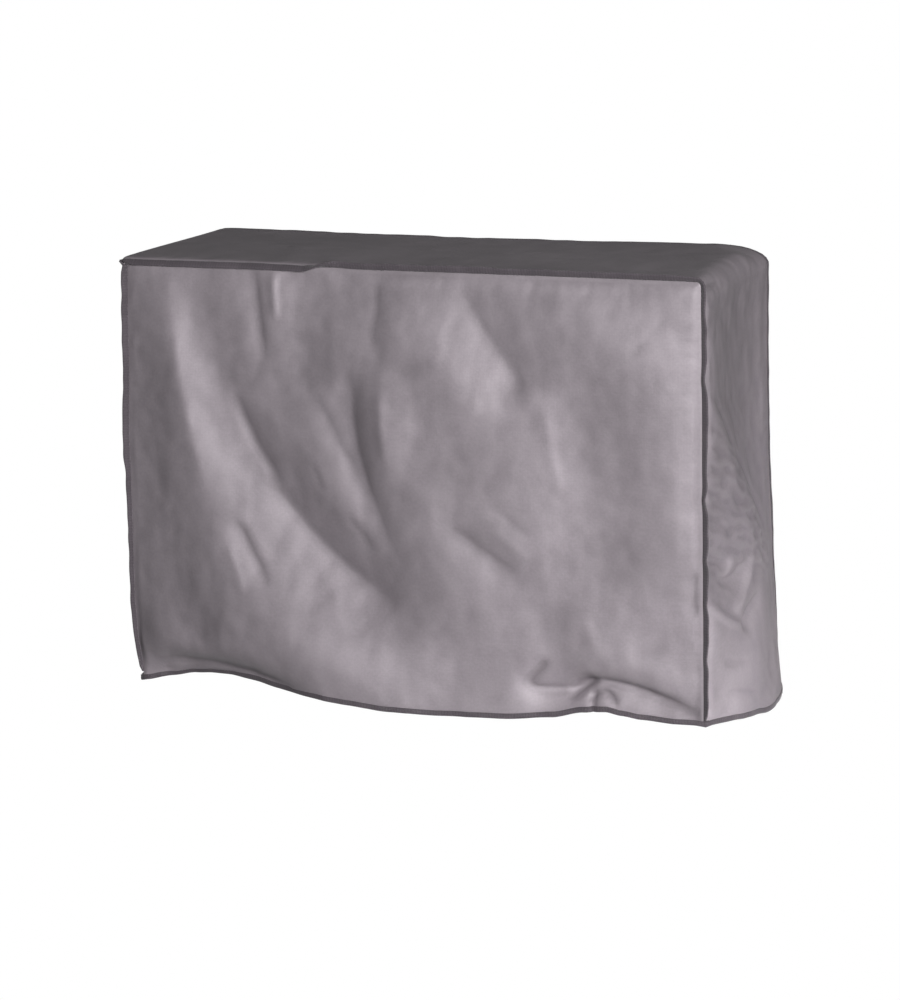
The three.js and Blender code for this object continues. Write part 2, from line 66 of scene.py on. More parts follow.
# Main folds. Columns: name, start, middle and end, each (across, up, outward).
FRONT_FOLDS = [
    ("swag crest", (64, 585, 5), (92, 440, 25), (138, 272, 36)),
    ("swag crest, low", (160, 213, 42), (182, 154, 49), (214, 100, 58)),
    ("left hollow", (24, 520, 6), (40, 330, 10), (34, 120, 11)),
    ("left hollow, low", (70, 200, 18), (96, 120, 26), (120, 70, 33)),
    ("swag trough, upper", (100, 572, 3), (124, 490, 6), (168, 420, 7)),
    ("swag trough, lower", (176, 400, 7), (252, 270, 8), (388, 140, 18)),
    ("swag band", (118, 440, 18), (188, 290, 20), (298, 140, 37)),
    ("rib by the trough", (200, 415, 14), (310, 300, 24), (460, 164, 36)),
    ("slit, left lip", (172, 580, 2), (184, 530, 8), (198, 478, 10)),
    ("slit trough", (200, 584, 1), (206, 530, 5), (218, 474, 8)),
    ("slit crest", (226, 586, 5), (230, 530, 12), (244, 470, 13)),
    ("behind the slit", (256, 580, 1), (262, 522, 6), (274, 468, 11)),
    ("top hollow", (304, 574, 2), (304, 510, 12), (292, 440, 17)),
    ("middle rib", (310, 424, 26), (334, 350, 27), (358, 262, 30)),
    ("deep trough", (352, 450, 26), (362, 346, 26), (386, 232, 28)),
    ("deep crest", (400, 456, 38), (404, 396, 47), (412, 336, 45)),
    ("lower crest", (470, 304, 43), (480, 250, 46), (504, 170, 40)),
    ("top rise", (352, 578, 4), (352, 524, 20), (342, 474, 26)),
    ("top trough", (384, 586, 4), (386, 530, 21), (380, 480, 28)),
    ("top crest", (418, 586, 8), (424, 530, 29), (420, 480, 35)),
    ("middle hollow", (446, 470, 34), (456, 400, 42), (452, 330, 40)),
    ("billow crest", (432, 584, 8), (476, 522, 29), (540, 430, 40)),
    ("billow fall", (494, 586, 2), (548, 524, 12), (600, 456, 16)),
    ("billow rise", (560, 576, 4), (606, 530, 17), (654, 470, 23)),
    ("mid crest", (510, 400, 40), (518, 340, 35), (524, 290, 36)),
    ("tall rib", (618, 440, 29), (632, 372, 26), (646, 308, 25)),
    ("tall fall", (670, 428, 19), (680, 362, 14), (692, 304, 15)),
    ("corner crest", (660, 580, 11), (706, 550, 20), (752, 500, 23)),
    ("far trough", (718, 440, 17), (728, 330, 11), (716, 190, 11)),
    ("right crest", (804, 574, 9), (814, 400, 14), (816, 240, 13)),
    ("low hollow", (766, 210, 11), (770, 150, 11), (778, 90, 10)),
    ("right seam, low", (826, 196, 6), (828, 140, 4), (826, 84, 4)),
    ("nick trough", (512, 252, 39), (550, 222, 33), (592, 190, 27)),
    ("nick crest", (540, 270, 39), (584, 240, 37), (624, 204, 27)),
    ("falling rib", (500, 236, 42), (556, 182, 32), (636, 120, 18)),
    ("lower middle", (465, 112, 34), (548, 84, 31), (620, 70, 26)),
    ("belly", (268, 100, 65), (328, 72, 66), (388, 40, 63)),
    ("left turn", (26, 40, 14), (130, 52, 40), (262, 36, 62)),
    ("right turn", (644, 28, 7), (736, 36, 6), (832, 8, -2)),
    ("lower right", (690, 72, 23), (760, 62, 17), (821, 40, 8)),
    ("hem, left", (42, 5, -8), (136, 18, 8), (232, 12, 40)),
    ("hem, middle", (290, 12, 62), (374, 0, 66), (475, -7, 47)),
    ("hem, right", (522, -8, 40), (577, -7, 32), (640, -6, 21)),
    ("hem, corner", (668, -3, 18), (720, 6, 14), (808, -3, 3)),
]
RIGHT_FOLDS = [
    ("front stripe", (17, 560, 4), (19, 500, 5), (20, 446, 5)),
    ("behind the stripe", (52, 540, 1), (60, 500, 1), (80, 440, 1)),
    ("drawn in", (190, 560, -6), (200, 470, -8), (240, 370, -7)),
    ("tight cloth", (60, 432, 2), (150, 365, 1), (282, 235, 2)),
    ("brow", (15, 424, 6), (72, 366, 13), (160, 264, 19)),
    ("cross trough", (12, 200, 1), (60, 178, 9), (112, 180, 20)),
    ("ridge", (24, 120, 12), (72, 114, 27), (128, 138, 35)),
    ("skirt rise", (30, 70, 13), (62, 24, 27), (60, -8, 26)),
    ("skirt crest", (150, 120, 37), (156, 50, 39), (160, -26, 43)),
    ("skirt back", (245, 170, 16), (250, 80, 21), (254, -26, 28)),
]
LEFT_FOLDS = [
    ("upper fold", (60, 450, 3), (160, 330, 8), (250, 190, 6)),
    ("lower fold", (90, 160, 8), (180, 70, 9), (255, -20, 9)),
]
BACK_FOLDS = [
    ("left fold", (200, 500, 3), (230, 300, 8), (250, 0, 12)),
    ("middle trough", (420, 480, 0), (410, 260, 2), (430, 20, 4)),
    ("right fold", (640, 500, 3), (610, 300, 9), (600, 0, 12)),
]

# Creases on top of the folds. Columns: name, start, middle and end as (across, up),
# height (troughs are below 0), and reach to the left and to the right of a line that runs down, which is
# its reach below and above a line that runs to the right.
FRONT_CREASES = [
    ("swag edge", (74, 560), (98, 420), (146, 262), 2.4, 12, 14),
    ("swag pinch", (168, 430), (200, 356), (250, 282), -4.2, 8, 13),
    ("swag bed", (220, 312), (304, 212), (440, 122), -6.0, 14, 18),
    ("deep pinch", (356, 484), (368, 340), (440, 180), -5.0, 20, 16),
    ("branch pinch", (300, 436), (330, 376), (388, 268), -4.0, 18, 13),
    ("left nick", (176, 252), (202, 206), (240, 146), -5.4, 15, 9),
    ("left nick rib", (166, 222), (184, 180), (200, 140), 2.0, 9, 8),
    ("right nick", (504, 262), (548, 226), (606, 188), -3.2, 16, 10),
    ("right nick rib", (560, 262), (586, 240), (620, 214), 1.2, 10, 8),
    ("billow pinch", (500, 594), (548, 524), (614, 440), -3.0, 14, 16),
    ("slit pinch", (198, 604), (207, 532), (222, 462), -3.2, 10, 10),
    ("slit rib", (228, 596), (232, 560), (236, 520), 2.8, 5, 6),
    ("top pinch", (386, 596), (390, 540), (384, 484), -2.2, 10, 11),
    ("tall rib line", (632, 446), (646, 372), (660, 300), 2.4, 13, 12),
    ("crest rib line", (404, 452), (408, 390), (416, 322), 2.6, 9, 11),
    ("spot", (294, 336), (304, 310), (314, 284), -1.8, 8, 9),
    ("spot, low", (344, 268), (366, 238), (390, 208), -1.8, 8, 10),
    ("left turn bed", (16, 20), (140, 28), (290, 4), -8.0, 7, 10),
    ("right turn line", (650, 32), (725, 47), (856, 5), -13.0, 16, 6),
    ("right turn mouth", (586, 42), (640, 31), (704, 42), -9.0, 12, 9),
    ("right turn mouth, left", (598, 34), (616, 54), (640, 80), -6.0, 7, 12),
    ("right turn wedge", (652, 10), (680, 34), (704, 54), -9.0, 6, 14),
    ("right turn arch", (680, 12), (708, 31), (734, 8), -7.0, 5, 4),
    ("right turn curl", (700, 32), (694, 17), (699, 2), -6.0, 4, 5),
    ("corner ray", (812, 560), (776, 520), (744, 486), -1.3, 9, 12),
    ("seam pinch, low", (838, 220), (840, 180), (838, 130), -3.0, 16, 8),
    ("low ray", (680, 150), (700, 110), (716, 70), 1.4, 14, 12),
    ("mid ray", (560, 300), (590, 270), (622, 246), -1.6, 10, 12),
    ("foot ray", (300, 190), (330, 140), (350, 90), 1.6, 14, 16),
]
RIGHT_CREASES = [
    ("top corner pinch", (-4, 598), (34, 590), (90, 584), -7.0, 5, 5),
    ("brow pinch", (10, 446), (66, 412), (112, 350), -3.4, 8, 9),
    ("brow pinch, low", (104, 356), (176, 300), (262, 196), -3.6, 9, 10),
    ("cross pinch", (2, 226), (44, 212), (90, 204), -9.0, 22, 9),
    ("cross pinch, back", (40, 190), (88, 180), (140, 204), -9.0, 20, 9),
    ("low pinch", (76, 110), (108, 130), (156, 150), -9.0, 18, 8),
    ("ridge line", (10, 164), (44, 132), (90, 116), 6.0, 9, 8),
    ("back ridge line", (54, 138), (104, 158), (162, 216), 7.0, 9, 9),
    ("skirt ray", (30, 84), (60, 66), (104, 64), -2.0, 8, 9),
    ("skirt ray, low", (24, 30), (70, 26), (120, 8), -1.6, 8, 10),
]
LEFT_CREASES = [
    ("slant pinch", (40, 470), (140, 360), (250, 230), -2.0, 9, 10),
    ("cross pinch", (30, 180), (110, 130), (220, 90), -2.2, 9, 9),
]
BACK_CREASES = [
    ("left pinch", (130, 560), (190, 420), (200, 260), -2.4, 10, 12),
    ("middle pinch", (470, 580), (440, 440), (448, 300), -2.0, 10, 12),
    ("right pinch", (720, 560), (668, 400), (690, 220), -2.4, 12, 10),
    ("low pinch", (320, 180), (380, 80), (360, -20), -2.2, 12, 12),
]

# Heights of the hems. Columns: across or deep, up.
FRONT_HEM = [
    (0, -3), (42, 5), (84, 14), (115, 18), (152, 20), (196, 18), (230, 15), (290, 13), (350, 8), (410, 2),
    (475, -2), (575, -2), (640, 2), (680, 11), (715, 14), (735, 10), (763, 6), (808, 2), (850, 1),
]
SIDE_HEM = [(0, 1), (50, -3), (82, -8), (113, -12), (147, -18), (207, -21), (260, -23), (315, -26)]
# Outward bow of the left front seam (columns: up, out), and the share of it that the left back seam has
LEFT_BOW = [(-40, -4), (0, -3), (60, 4), (110, 6), (330, 3), (500, -4), (600, -8)]
BACK_BOW = 0.5
# Lift of the front top edge toward its left end (columns: across, up), sag of the back one (columns: across,
# down), and how far down they fade out
TOP_LIFT = [(-10, 4), (220, 4.5), (290, 3), (360, 0), (860, 0)]
BACK_SAG = [(-10, 0), (60, 0), (190, 1.5), (380, 3), (570, 2.5), (760, 1), (860, 0)]
LIFT_REACH = 150.0
# Flare of the right back edge to the right and to the back. Columns: up, out.
FLARE_RIGHT = [(-40, 12), (60, 9), (180, 5), (320, 1), (420, 0), (600, 0)]
FLARE_BACK = [(-40, 12), (60, 10), (180, 6), (320, 2), (420, 0), (600, 0)]

# How cloth is spanned over its folds: its fade beside a seam, the roundness of a fold, the distance between
# the places taken on a fold and on a seam, and how loosely the cloth keeps to them
SEAM_FADE = 12.0
FOLD_ROUND = 16.0
FOLD_STEP = 36.0
SEAM_STEP = 75.0
SLACK = 4.0
# A crease is followed in a few points and fades out over a share of its length at each end. A share of its
# height is a round trough or ridge, and the rest is a sharper line with a steeper edge.
CREASE_POINTS = 15
CREASE_FADE = 0.3
CREASE_ROUND = 0.55
CREASE_EDGE = 1.6
# Cloth stands up beside a seam, where its slack is drawn in
PUFF, PUFF_REACH = 1.7, 2.6
# Humps of the cloth's uneven lie, which are a little taller than wide. Columns: distance apart, height.
HUMPS = [(85, 1.3), (38, 1.3), (17, 0.65)]
RIGHT_HUMPS = [(60, 2.0), (27, 1.5), (13, 0.6)]
TOP_HUMPS = [(120, 1.1), (45, 0.7), (19, 0.25)]
TOP_SEED = 9
HUMP_SHAPE = 1.35
# Gathers beside the seams of a face, at its top, start or end edge. Columns: edge, seed, height, reach.
FRONT_GATHERS = [("top", 1, 0.9, 16), ("start", 2, 0.7, 16), ("end", 3, 0.7, 16)]
BACK_GATHERS = [("top", 4, 0.9, 16)]
RIGHT_GATHERS = [("start", 5, 0.8, 12), ("end", 6, 0.8, 12)]
LEFT_GATHERS = [("start", 7, 0.8, 12), ("end", 8, 0.8, 12)]
TOP_GATHERS = [("front", 10, 1.0, 16), ("back", 11, 1.0, 16)]
# Lengths of the short and the long gathers, the share of the long ones, and how they swell and fall away
SHORT_GATHER, LONG_GATHER, LONG_SHARE = 9.0, 21.0, 0.6
GATHER_SWELL, GATHER_FALL = 1.6, 2.2
# Steps that take each seed and each layer of humps elsewhere in the noise
SEED_ACROSS, SEED_IN, LAYER_UP = 7.3, 2.7, 3.1
# Crinkles of the right side. Columns: length, width, height. They slant, and bend a little along their way.
CRINKLES = [(46, 15, 3.2), (24, 8, 1.7)]
CRINKLE_SLANT = 0.35
CRINKLE_BEND, BEND_LENGTH = 6.0, 50.0
# Upper limit of the crinkled cloth (columns: deep, up), its lower limit, and its fades at both
CRINKLED = [(0, 440), (90, 385), (160, 320), (258, 205), (315, 150)]
CRINKLED_LOW = 150.0
UPPER_FADE, LOWER_FADE = 40.0, 50.0

# Cells of cloth: across and up on the panels. On the strip they run up the left side, over its bend, across
# the top and down the right side, and then from front to back. A seam has its own, finer ones.
FRONT_CELLS = (204, 158)
BACK_CELLS = (106, 84)
STRIP_CELLS = (110, 8, 150, 170)
STRIP_ROWS = 56
SEAM_CELLS = (340, 16, 460, 340)
# Places of the columns of cloth beside a seam, closer than the rest, and the step from the last to the rest
SEAM_COLUMNS = (0.0, 0.9, 2.0, 3.4, 5.2, 7.6, 10.6, 14.4)
SEAM_COLUMN_END = 4.0
# Share of a panel's rows that lie in its bend at the top
BEND_ROWS = 0.06
# How far from its seam the strip's turn into the tape is felt, and how fast it fades out
TURN_SEEN, TURN_FADE = 30.0, 6.0
# The top's own humps stay clear of its two bends by a margin, and fade in beyond it
TOP_MARGIN, TOP_FADE = 10.0, 40.0
# Where the cloth has rows between its turn at the seam and its cut edge inside the tape
TUCK_SHARES = (0.3, 1.0)
# Steps to the far and the near neighbours that a place is compared with to find crests and troughs
NEIGHBOURS = (3, 2)

# A seam tape wavers in small and in broad waves: the swing that brings the noise to 1, the waves' lengths,
# their tilts in degrees, their shares of the ripple of the edge, and that ripple at the front and the back
WAVER_SWING = 1.6
SMALL_WAVE, BROAD_WAVE = 24.0, 90.0
SMALL_TILT, BROAD_TILT = 5.0, 7.0
SMALL_RIPPLE, BROAD_RIPPLE = 0.5, 0.7
FRONT_RIPPLE, BACK_RIPPLE = 1.0, 0.6
# Gap from the corner to the foot of a seam tape, and from the cut edges of the cloth to its slot's end
TAPE_GAP, EDGE_GAP = 0.25, 0.8
# The cloth's tuck into a seam tape shrinks to a little at the tape's ends
TUCK_FADE, LEAST_TUCK = 5.0, 0.3
# How far a seam tape runs on below the line of the hem, into the hem tape
TAPE_OVERHANG = 1.2

# Places where the front tape is pinched over. Columns: side, up, lean, half length along the seam.
FRONT_NICKS = [
    ("right", 470, -24, 14), ("right", 308, -22, 12), ("right", 226, -16, 9), ("right", 165, -13, 9),
    ("right", 85, -10, 9), ("left", 520, 10, 16), ("left", 300, -10, 14), ("left", 120, 9, 16),
]
# Leans of the front tape out of the way forward, in degrees: on the left, along the top, where it hangs
# over the panel from the left corner, and on the right. The hanging run ends at a place across.
LEAN_LEFT, LEAN_HANGING, LEAN_TOP, LEAN_RIGHT = 45.0, -46.0, 58.0, 50.0
HANGING_END, HANGING_FADE = -150.0, 60.0
LEAN_BACK = 17.0
# How far up the way out of the cloth points where the tape begins to lean as along the top, and its fade
FACING_UP, FACING_FADE = 0.3, 0.6
# Section of a seam tape, open at its foot around the two cloths.
# Columns: share of its width, share of half its thickness.
SEAM_SECTION = [
    (0.0, -0.9), (0.12, -1.0), (0.3, -0.93), (0.6, -1.0), (0.85, -0.92), (0.96, -0.6),
    (1.0, 0.0), (0.96, 0.6), (0.85, 0.92), (0.6, 1.0), (0.3, 0.93), (0.12, 1.0), (0.0, 0.9),
]
# Section of the hem tape, open at the top around the cloth. Columns: share of half its thickness, drop.
HEM_SECTION = [
    (0.95, 0.7), (1.0, 1.6), (0.86, 2.9), (1.0, 5.0), (0.92, 7.6), (0.5, 8.5), (0.0, 8.7), (-0.5, 8.5),
    (-0.92, 7.6), (-1.0, 5.0), (-0.86, 2.9), (-1.0, 1.6), (-0.95, 0.7), (-0.45, 0.7), (-0.45, 6.0),
    (0.45, 6.0), (0.45, 0.7),
]
# The hem tape reaches out at the corners, under the ends of the seam tapes, and rounds off over a reach
NOSE, NOSE_REACH = 2.6, 8.0
# Stitches: the share of a seam tape's width at which they run, the drop at which they run on the hem tape,
# and how far out they lie on both, as shares of half the thickness
STITCH_SHARE, HEM_STITCH_DROP = 0.26, 2.9
STITCH_OUT, HEM_STITCH_OUT = 0.95, 0.9
# Rings of a stitch. Columns: share of its length, share of its radius, share of the radius that it sinks.
STITCH_RINGS = [(-0.5, 0.35, 0.9), (-0.32, 0.95, 0.15), (0.32, 0.95, 0.15), (0.5, 0.35, 0.9)]
THREAD_SIDES = 5

# Distance in metres between the bands of a wave texture whose scale is 1
WAVE_CYCLE = 2 * math.pi / 20
# Patterns of the cloth and the tape in millimetres. Yarns and ribs are drawn coarser than they are, to show.
YARNS_DRAWN = 3.55
RIBS_DRAWN = 3.95
# Slubs of the yarn, uneven lie of the coat and faded clouds. Columns: size, detail, coarseness of the detail.
CLOTH_PATTERNS = [(4.17, 3.0, 0.6), (38.5, 4.0, 0.55), (182.0, 3.0, 0.5)]
# Fuzz of the tape and its uneven dye. Columns as above.
TAPE_PATTERNS = [(5.56, 4.0, 0.65), (41.7, 3.0, 0.5)]
# One turn of the thread's twist, and the clouds in the floor's paint
TWIST_LENGTH = 1.11
FLOOR_CLOUD = 2500.0

# Studio in metres and degrees: half the floor's side and its height, and the light of the air
FLOOR_HALF, FLOOR_LEVEL = 40.0, -3.2
AIR_LIGHT = 0.04
# Columns: name, azimuth, elevation, distance, size, spread, finish that holds its power, and its target.
# The low light has a grid that keeps it off the upper half.
LIGHTS = [
    ("key_softbox", 35, 15, 5.0, 1.8, 180, "key_power", (0, 0, -0.3)),
    ("back_softbox", 225, -20, 4.0, 2.0, 180, "fill_power", (0, 0, -0.3)),
    ("low_softbox", 74, -8, 2.4, 0.35, 28, "low_power", (0.43, 0.0, -0.74)),
]
# Camera: its place in metres, its angles, its lens and sensor in millimetres, and how far it sees in metres
CAMERA_PLACE = (1.59098, -4.03958, 0.65442)
CAMERA_AZIMUTH, CAMERA_ELEVATION, CAMERA_ROLL = 21.493, 13.074, -1.423
FOCAL_LENGTH, SENSOR, CLIP_END = 112.2, 36.0, 200.0


def linear(hex_colour):
    """Linear red, green and blue of an sRGB hex colour."""
    channels = [int(hex_colour[i:i + 2], 16) / 255 for i in (1, 3, 5)]
    return [c / 12.92 if c <= 0.04045 else ((c + 0.055) / 1.055) ** 2.4 for c in channels]


def smooth(t):
    """Eased step from 0 to 1."""
    s = np.clip(t, 0.0, 1.0)
    return s * s * (3 - 2 * s)


def mix(a, b, t):
    return a + (b - a) * t


def along(table, at):
    """Second column of a table at places in its first one, with half-rounded steps between the rows."""
    rows = np.array(table, float)
    at = np.asarray(at, float)
    low = np.clip(np.searchsorted(rows[:, 0], at, side="right") - 1, 0, len(rows) - 2)
    share = (at - rows[low, 0]) / (rows[low + 1, 0] - rows[low, 0])
    eased = 0.5 * smooth(share) + 0.5 * np.clip(share, 0, 1)
    return mix(rows[low, 1], rows[low + 1, 1], eased)


def on_curve(start, middle, end, share):
    """Places on the curve through three places."""
    t = np.asarray(share, float)[:, None]
    start, middle, end = (np.array(place, float) for place in (start, middle, end))
    return (1 - t) * (1 - 2 * t) * start + 4 * t * (1 - t) * middle + t * (2 * t - 1) * end


def run_of(places):
    """Distance run along a line of places, from its start."""
    steps = np.linalg.norm(np.diff(places, axis=0), axis=1)
    return np.concatenate([[0], np.cumsum(steps)])


def edge_gap(x, z, wide, high=HEIGHT):
    """Distance from the nearest of a face's two side edges and its top edge."""
    return np.minimum(np.minimum(x, wide - x), high - z)


def puff(away):
    """How far cloth stands up at a distance from its seam, where its slack is drawn in."""
    return PUFF * (1 - np.exp(-np.maximum(away, 0) / PUFF_REACH))


def drape(folds, wide, low):
    """Relief of cloth spanned between its held seams and its folds, as a function of place."""
    heights = np.linspace(low, HEIGHT, round((HEIGHT - low) / SEAM_STEP) + 1)
    columns = np.linspace(0, wide, round(wide / SEAM_STEP) + 1)[1:-1]
    places = [(x, z, 0) for z in heights for x in (0, wide)] + [(x, HEIGHT, 0) for x in columns]
    for _, start, middle, end in folds:
        count = max(2, round(math.dist(start[:2], end[:2]) / FOLD_STEP))
        places += [tuple(place) for place in on_curve(start, middle, end, np.linspace(0, 1, count + 1))]
    places = np.array(places, float)
    size = len(places)
    away = places[:, None, :2] - places[None, :, :2]
    rows = np.ones((size + 1, size + 1))
    rows[:size, :size] = np.sqrt((away ** 2).sum(2) + FOLD_ROUND ** 2) - SLACK * np.eye(size)
    rows[size, size] = 0
    weights = np.linalg.solve(rows, np.append(places[:, 2], 0))

    def relief(x, z):
        total = np.full(np.shape(x), weights[-1])
        for (px, pz, _), weight in zip(places, weights):
            total = total + weight * np.sqrt((x - px) ** 2 + (z - pz) ** 2 + FOLD_ROUND ** 2)
        return total * smooth(edge_gap(x, z, wide) / SEAM_FADE)

    return relief


def creases(table, x, z):
    """Sum of the creases, each a soft trough or ridge that fades out at both ends."""
    total = np.zeros(np.shape(x))
    for _, start, middle, end, height, left, right in table:
        line = on_curve(start, middle, end, np.linspace(0, 1, CREASE_POINTS))
        nearest = np.full(np.shape(x), np.inf)
        side = np.zeros(np.shape(x))
        share = np.zeros(np.shape(x))
        for i, ((ax, az), (bx, bz)) in enumerate(zip(line, line[1:])):
            dx, dz = bx - ax, bz - az
            t = np.clip(((x - ax) * dx + (z - az) * dz) / (dx * dx + dz * dz), 0, 1)
            ex, ez = x - ax - t * dx, z - az - t * dz
            away = ex * ex + ez * ez
            closer = away < nearest
            nearest = np.where(closer, away, nearest)
            side = np.where(closer, ez * dx - ex * dz, side)
            share = np.where(closer, (i + t) / (len(line) - 1), share)
        # The side is above 0 to the right of a line that runs down, and above one that runs to the right
        q = np.sqrt(nearest) / np.where(side > 0, right, left)
        ends = smooth(share / CREASE_FADE) * smooth((1 - share) / CREASE_FADE)
        total += height * ends * mix(np.exp(-CREASE_EDGE * q), np.exp(-q * q), CREASE_ROUND)
    return total


def crumple(x, z, seed, humps=HUMPS):
    """Soft uneven lie of the cloth. The seed and the row's number take each layer elsewhere in the noise."""
    flat = np.zeros(np.size(x))
    for i, (px, pz) in enumerate(zip(np.ravel(x), np.ravel(z))):
        for k, (size, height) in enumerate(humps):
            across, up = px / size, pz / (HUMP_SHAPE * size)
            place = Vector((across + SEED_ACROSS * seed, up + LAYER_UP * k, SEED_IN * seed + k))
            flat[i] += height * noise.noise(place)
    return flat.reshape(np.shape(x))


def pucker(run, away, seed, height, reach):
    """Small gathers that a sewn seam draws into the cloth beside it."""
    gathers = np.array([
        noise.noise(Vector((place / SHORT_GATHER, 5.1 * seed, 0.3)))
        + LONG_SHARE * noise.noise(Vector((place / LONG_GATHER, seed, 9.0)))
        for place in np.ravel(run)
    ]).reshape(np.shape(run))
    q = np.maximum(away, 0) / reach
    return GATHER_SWELL * height * gathers * q * np.exp(1 - GATHER_FALL * q)


def crinkle(x, z):
    """Short creases across the right side, where its loose lower half hangs from the tight cloth above."""
    zone = smooth((along(CRINKLED, x) - z) / UPPER_FADE) * smooth((z - CRINKLED_LOW) / LOWER_FADE)
    flat = np.zeros(np.size(x))
    for i, (px, pz, share) in enumerate(zip(np.ravel(x), np.ravel(z), np.ravel(zone))):
        if share > 0:
            way, over = px - CRINKLE_SLANT * pz, pz + CRINKLE_SLANT * px
            over += CRINKLE_BEND * noise.noise(Vector((px / BEND_LENGTH, pz / BEND_LENGTH, 2.0)))
            for k, (length, width, height) in enumerate(CRINKLES, 1):
                flat[i] += share * height * noise.noise(Vector((way / length, over / width, 4.0 * k)))
    return flat.reshape(np.shape(x))


def face_relief(folds, pinches, gathers, wide, low, seed, humps=HUMPS, fine_top=HEIGHT, extra=None):
    """Relief of one face as a function of place: its drape, and a fine lie that fades out at the seams.

    The low is the lowest held place on its side seams, and the fine lie fades out toward its own top.
    """
    spanned = drape(folds, wide, low)

    def relief(x, z):
        edges = {"top": (x, HEIGHT - z), "start": (z, x), "end": (z, wide - x)}
        fine = creases(pinches, x, z) + crumple(x, z, seed, humps)
        if extra:
            fine = fine + extra(x, z)
        for edge, edge_seed, height, reach in gathers:
            fine = fine + pucker(*edges[edge], edge_seed, height, reach)
        return spanned(x, z) + fine * smooth(edge_gap(x, z, wide, fine_top) / SEAM_FADE)

    return relief


front_relief = face_relief(FRONT_FOLDS, FRONT_CREASES, FRONT_GATHERS, WIDTH, low=-5, seed=1)
back_relief = face_relief(BACK_FOLDS, BACK_CREASES, BACK_GATHERS, WIDTH, low=-28, seed=4)
left_relief = face_relief(LEFT_FOLDS, LEFT_CREASES, LEFT_GATHERS, DEPTH, low=-25, seed=7)
right_relief = face_relief(
    RIGHT_FOLDS, RIGHT_CREASES, RIGHT_GATHERS, DEPTH, low=-25, seed=5, humps=RIGHT_HUMPS,
    fine_top=HEIGHT + 6, extra=crinkle)


def corner_at(corner, deep):
    """Reach across, reach down and roundness of a bend at a place along the depth."""
    rows = np.array(corner, float)
    return [np.interp(deep, rows[:, 0], rows[:, k]) for k in (1, 2, 3)]


def corner_places(corner, deep, turn):
    """Distances in from the corner and the top at turns from level to upright, and the ways out."""
    across, down, power = corner_at(corner, deep)
    sine, cosine = np.sin(turn) ** (2 / power), np.cos(turn) ** (2 / power)
    out_x, out_z = sine ** (power - 1) / across, cosine ** (power - 1) / down
    size = np.hypot(out_x, out_z)
    return across * (1 - sine), down * (1 - cosine), out_x / size, out_z / size


def strip_stations(deep_share, cells, end_above=0.0, sides=True):
    """Outline of the strip at a share of its depth: x, up, and the way out of the cloth."""
    deep = deep_share * DEPTH
    hem = along(SIDE_HEM, deep) + end_above
    top, half = HEIGHT + SOLID_CLOTH, WIDTH / 2
    left_count, corner_count, top_count, right_count = cells
    left_across, left_down, _ = corner_at(LEFT_CORNER, deep)
    right_across, right_down, _ = corner_at(RIGHT_CORNER, deep)
    beside = puff(min(deep, DEPTH - deep) - CLOTH * math.sqrt(2)) if sides else 0

    def part(x, up, out_x, out_z, relief=None, read_at=None):
        """One part of the outline, moved outward by the relief that its face has at these heights."""
        off = beside + (relief(np.full(len(read_at), deep), read_at) if sides and relief else 0)
        return np.stack(np.broadcast_arrays(x + off * out_x, up + off * out_z, out_x, out_z))

    left_up = mix(hem, top - left_down, np.arange(left_count) / left_count)
    right_up = mix(top - right_down, hem, np.arange(1, right_count + 1) / right_count)
    bow = along(LEFT_BOW, left_up) * mix(1, BACK_BOW, deep_share)
    flare = along(FLARE_RIGHT, right_up) * deep_share ** 2
    across = mix(-half + left_across, half - right_across, np.arange(1, top_count) / top_count)
    rising = np.linspace(0, 1, corner_count + 1)
    left_in, left_under, left_x, left_z = corner_places(LEFT_CORNER, deep, (1 - rising) * math.pi / 2)
    right_in, right_under, right_x, right_z = corner_places(RIGHT_CORNER, deep, rising * math.pi / 2)
    return np.concatenate([
        part(-half - bow, left_up, -1.0, 0.0, left_relief, left_up),
        part(-half + left_in, top - left_under, -left_x, left_z,
             left_relief, mix(top - left_down, HEIGHT, rising)),
        part(across, top, 0.0, 1.0),
        part(half - right_in, top - right_under, right_x, right_z,
             right_relief, mix(HEIGHT, top - right_down, rising)),
        part(half + flare, right_up, 1.0, 0.0, right_relief, right_up),
    ], axis=1).T


def strip_y(x, up, deep_share):
    """Depth of places on the strip, which flares to the back on its right side."""
    flare = np.where(x > 0, along(FLARE_BACK, up) * deep_share ** 2, 0)
    return -DEPTH / 2 + deep_share * DEPTH + flare * smooth(x / (WIDTH / 2))


def lifted(places):
    """Places after the lift of the front top edge and the sag of the back one, which fade out downward."""
    x, y, z = places[..., 0], places[..., 1], places[..., 2]
    across = x + WIDTH / 2
    rise = mix(along(TOP_LIFT, across), -along(BACK_SAG, across), smooth((y + DEPTH / 2) / DEPTH))
    return np.stack([x, y, z + rise * smooth(1 + z / LIFT_REACH)], axis=-1)


def waver(at, seed):
    """Slow uneven swing along a line, between about -1 and 1."""
    return np.array([WAVER_SWING * noise.noise(Vector((place, seed, 0.37 * seed))) for place in np.ravel(at)])


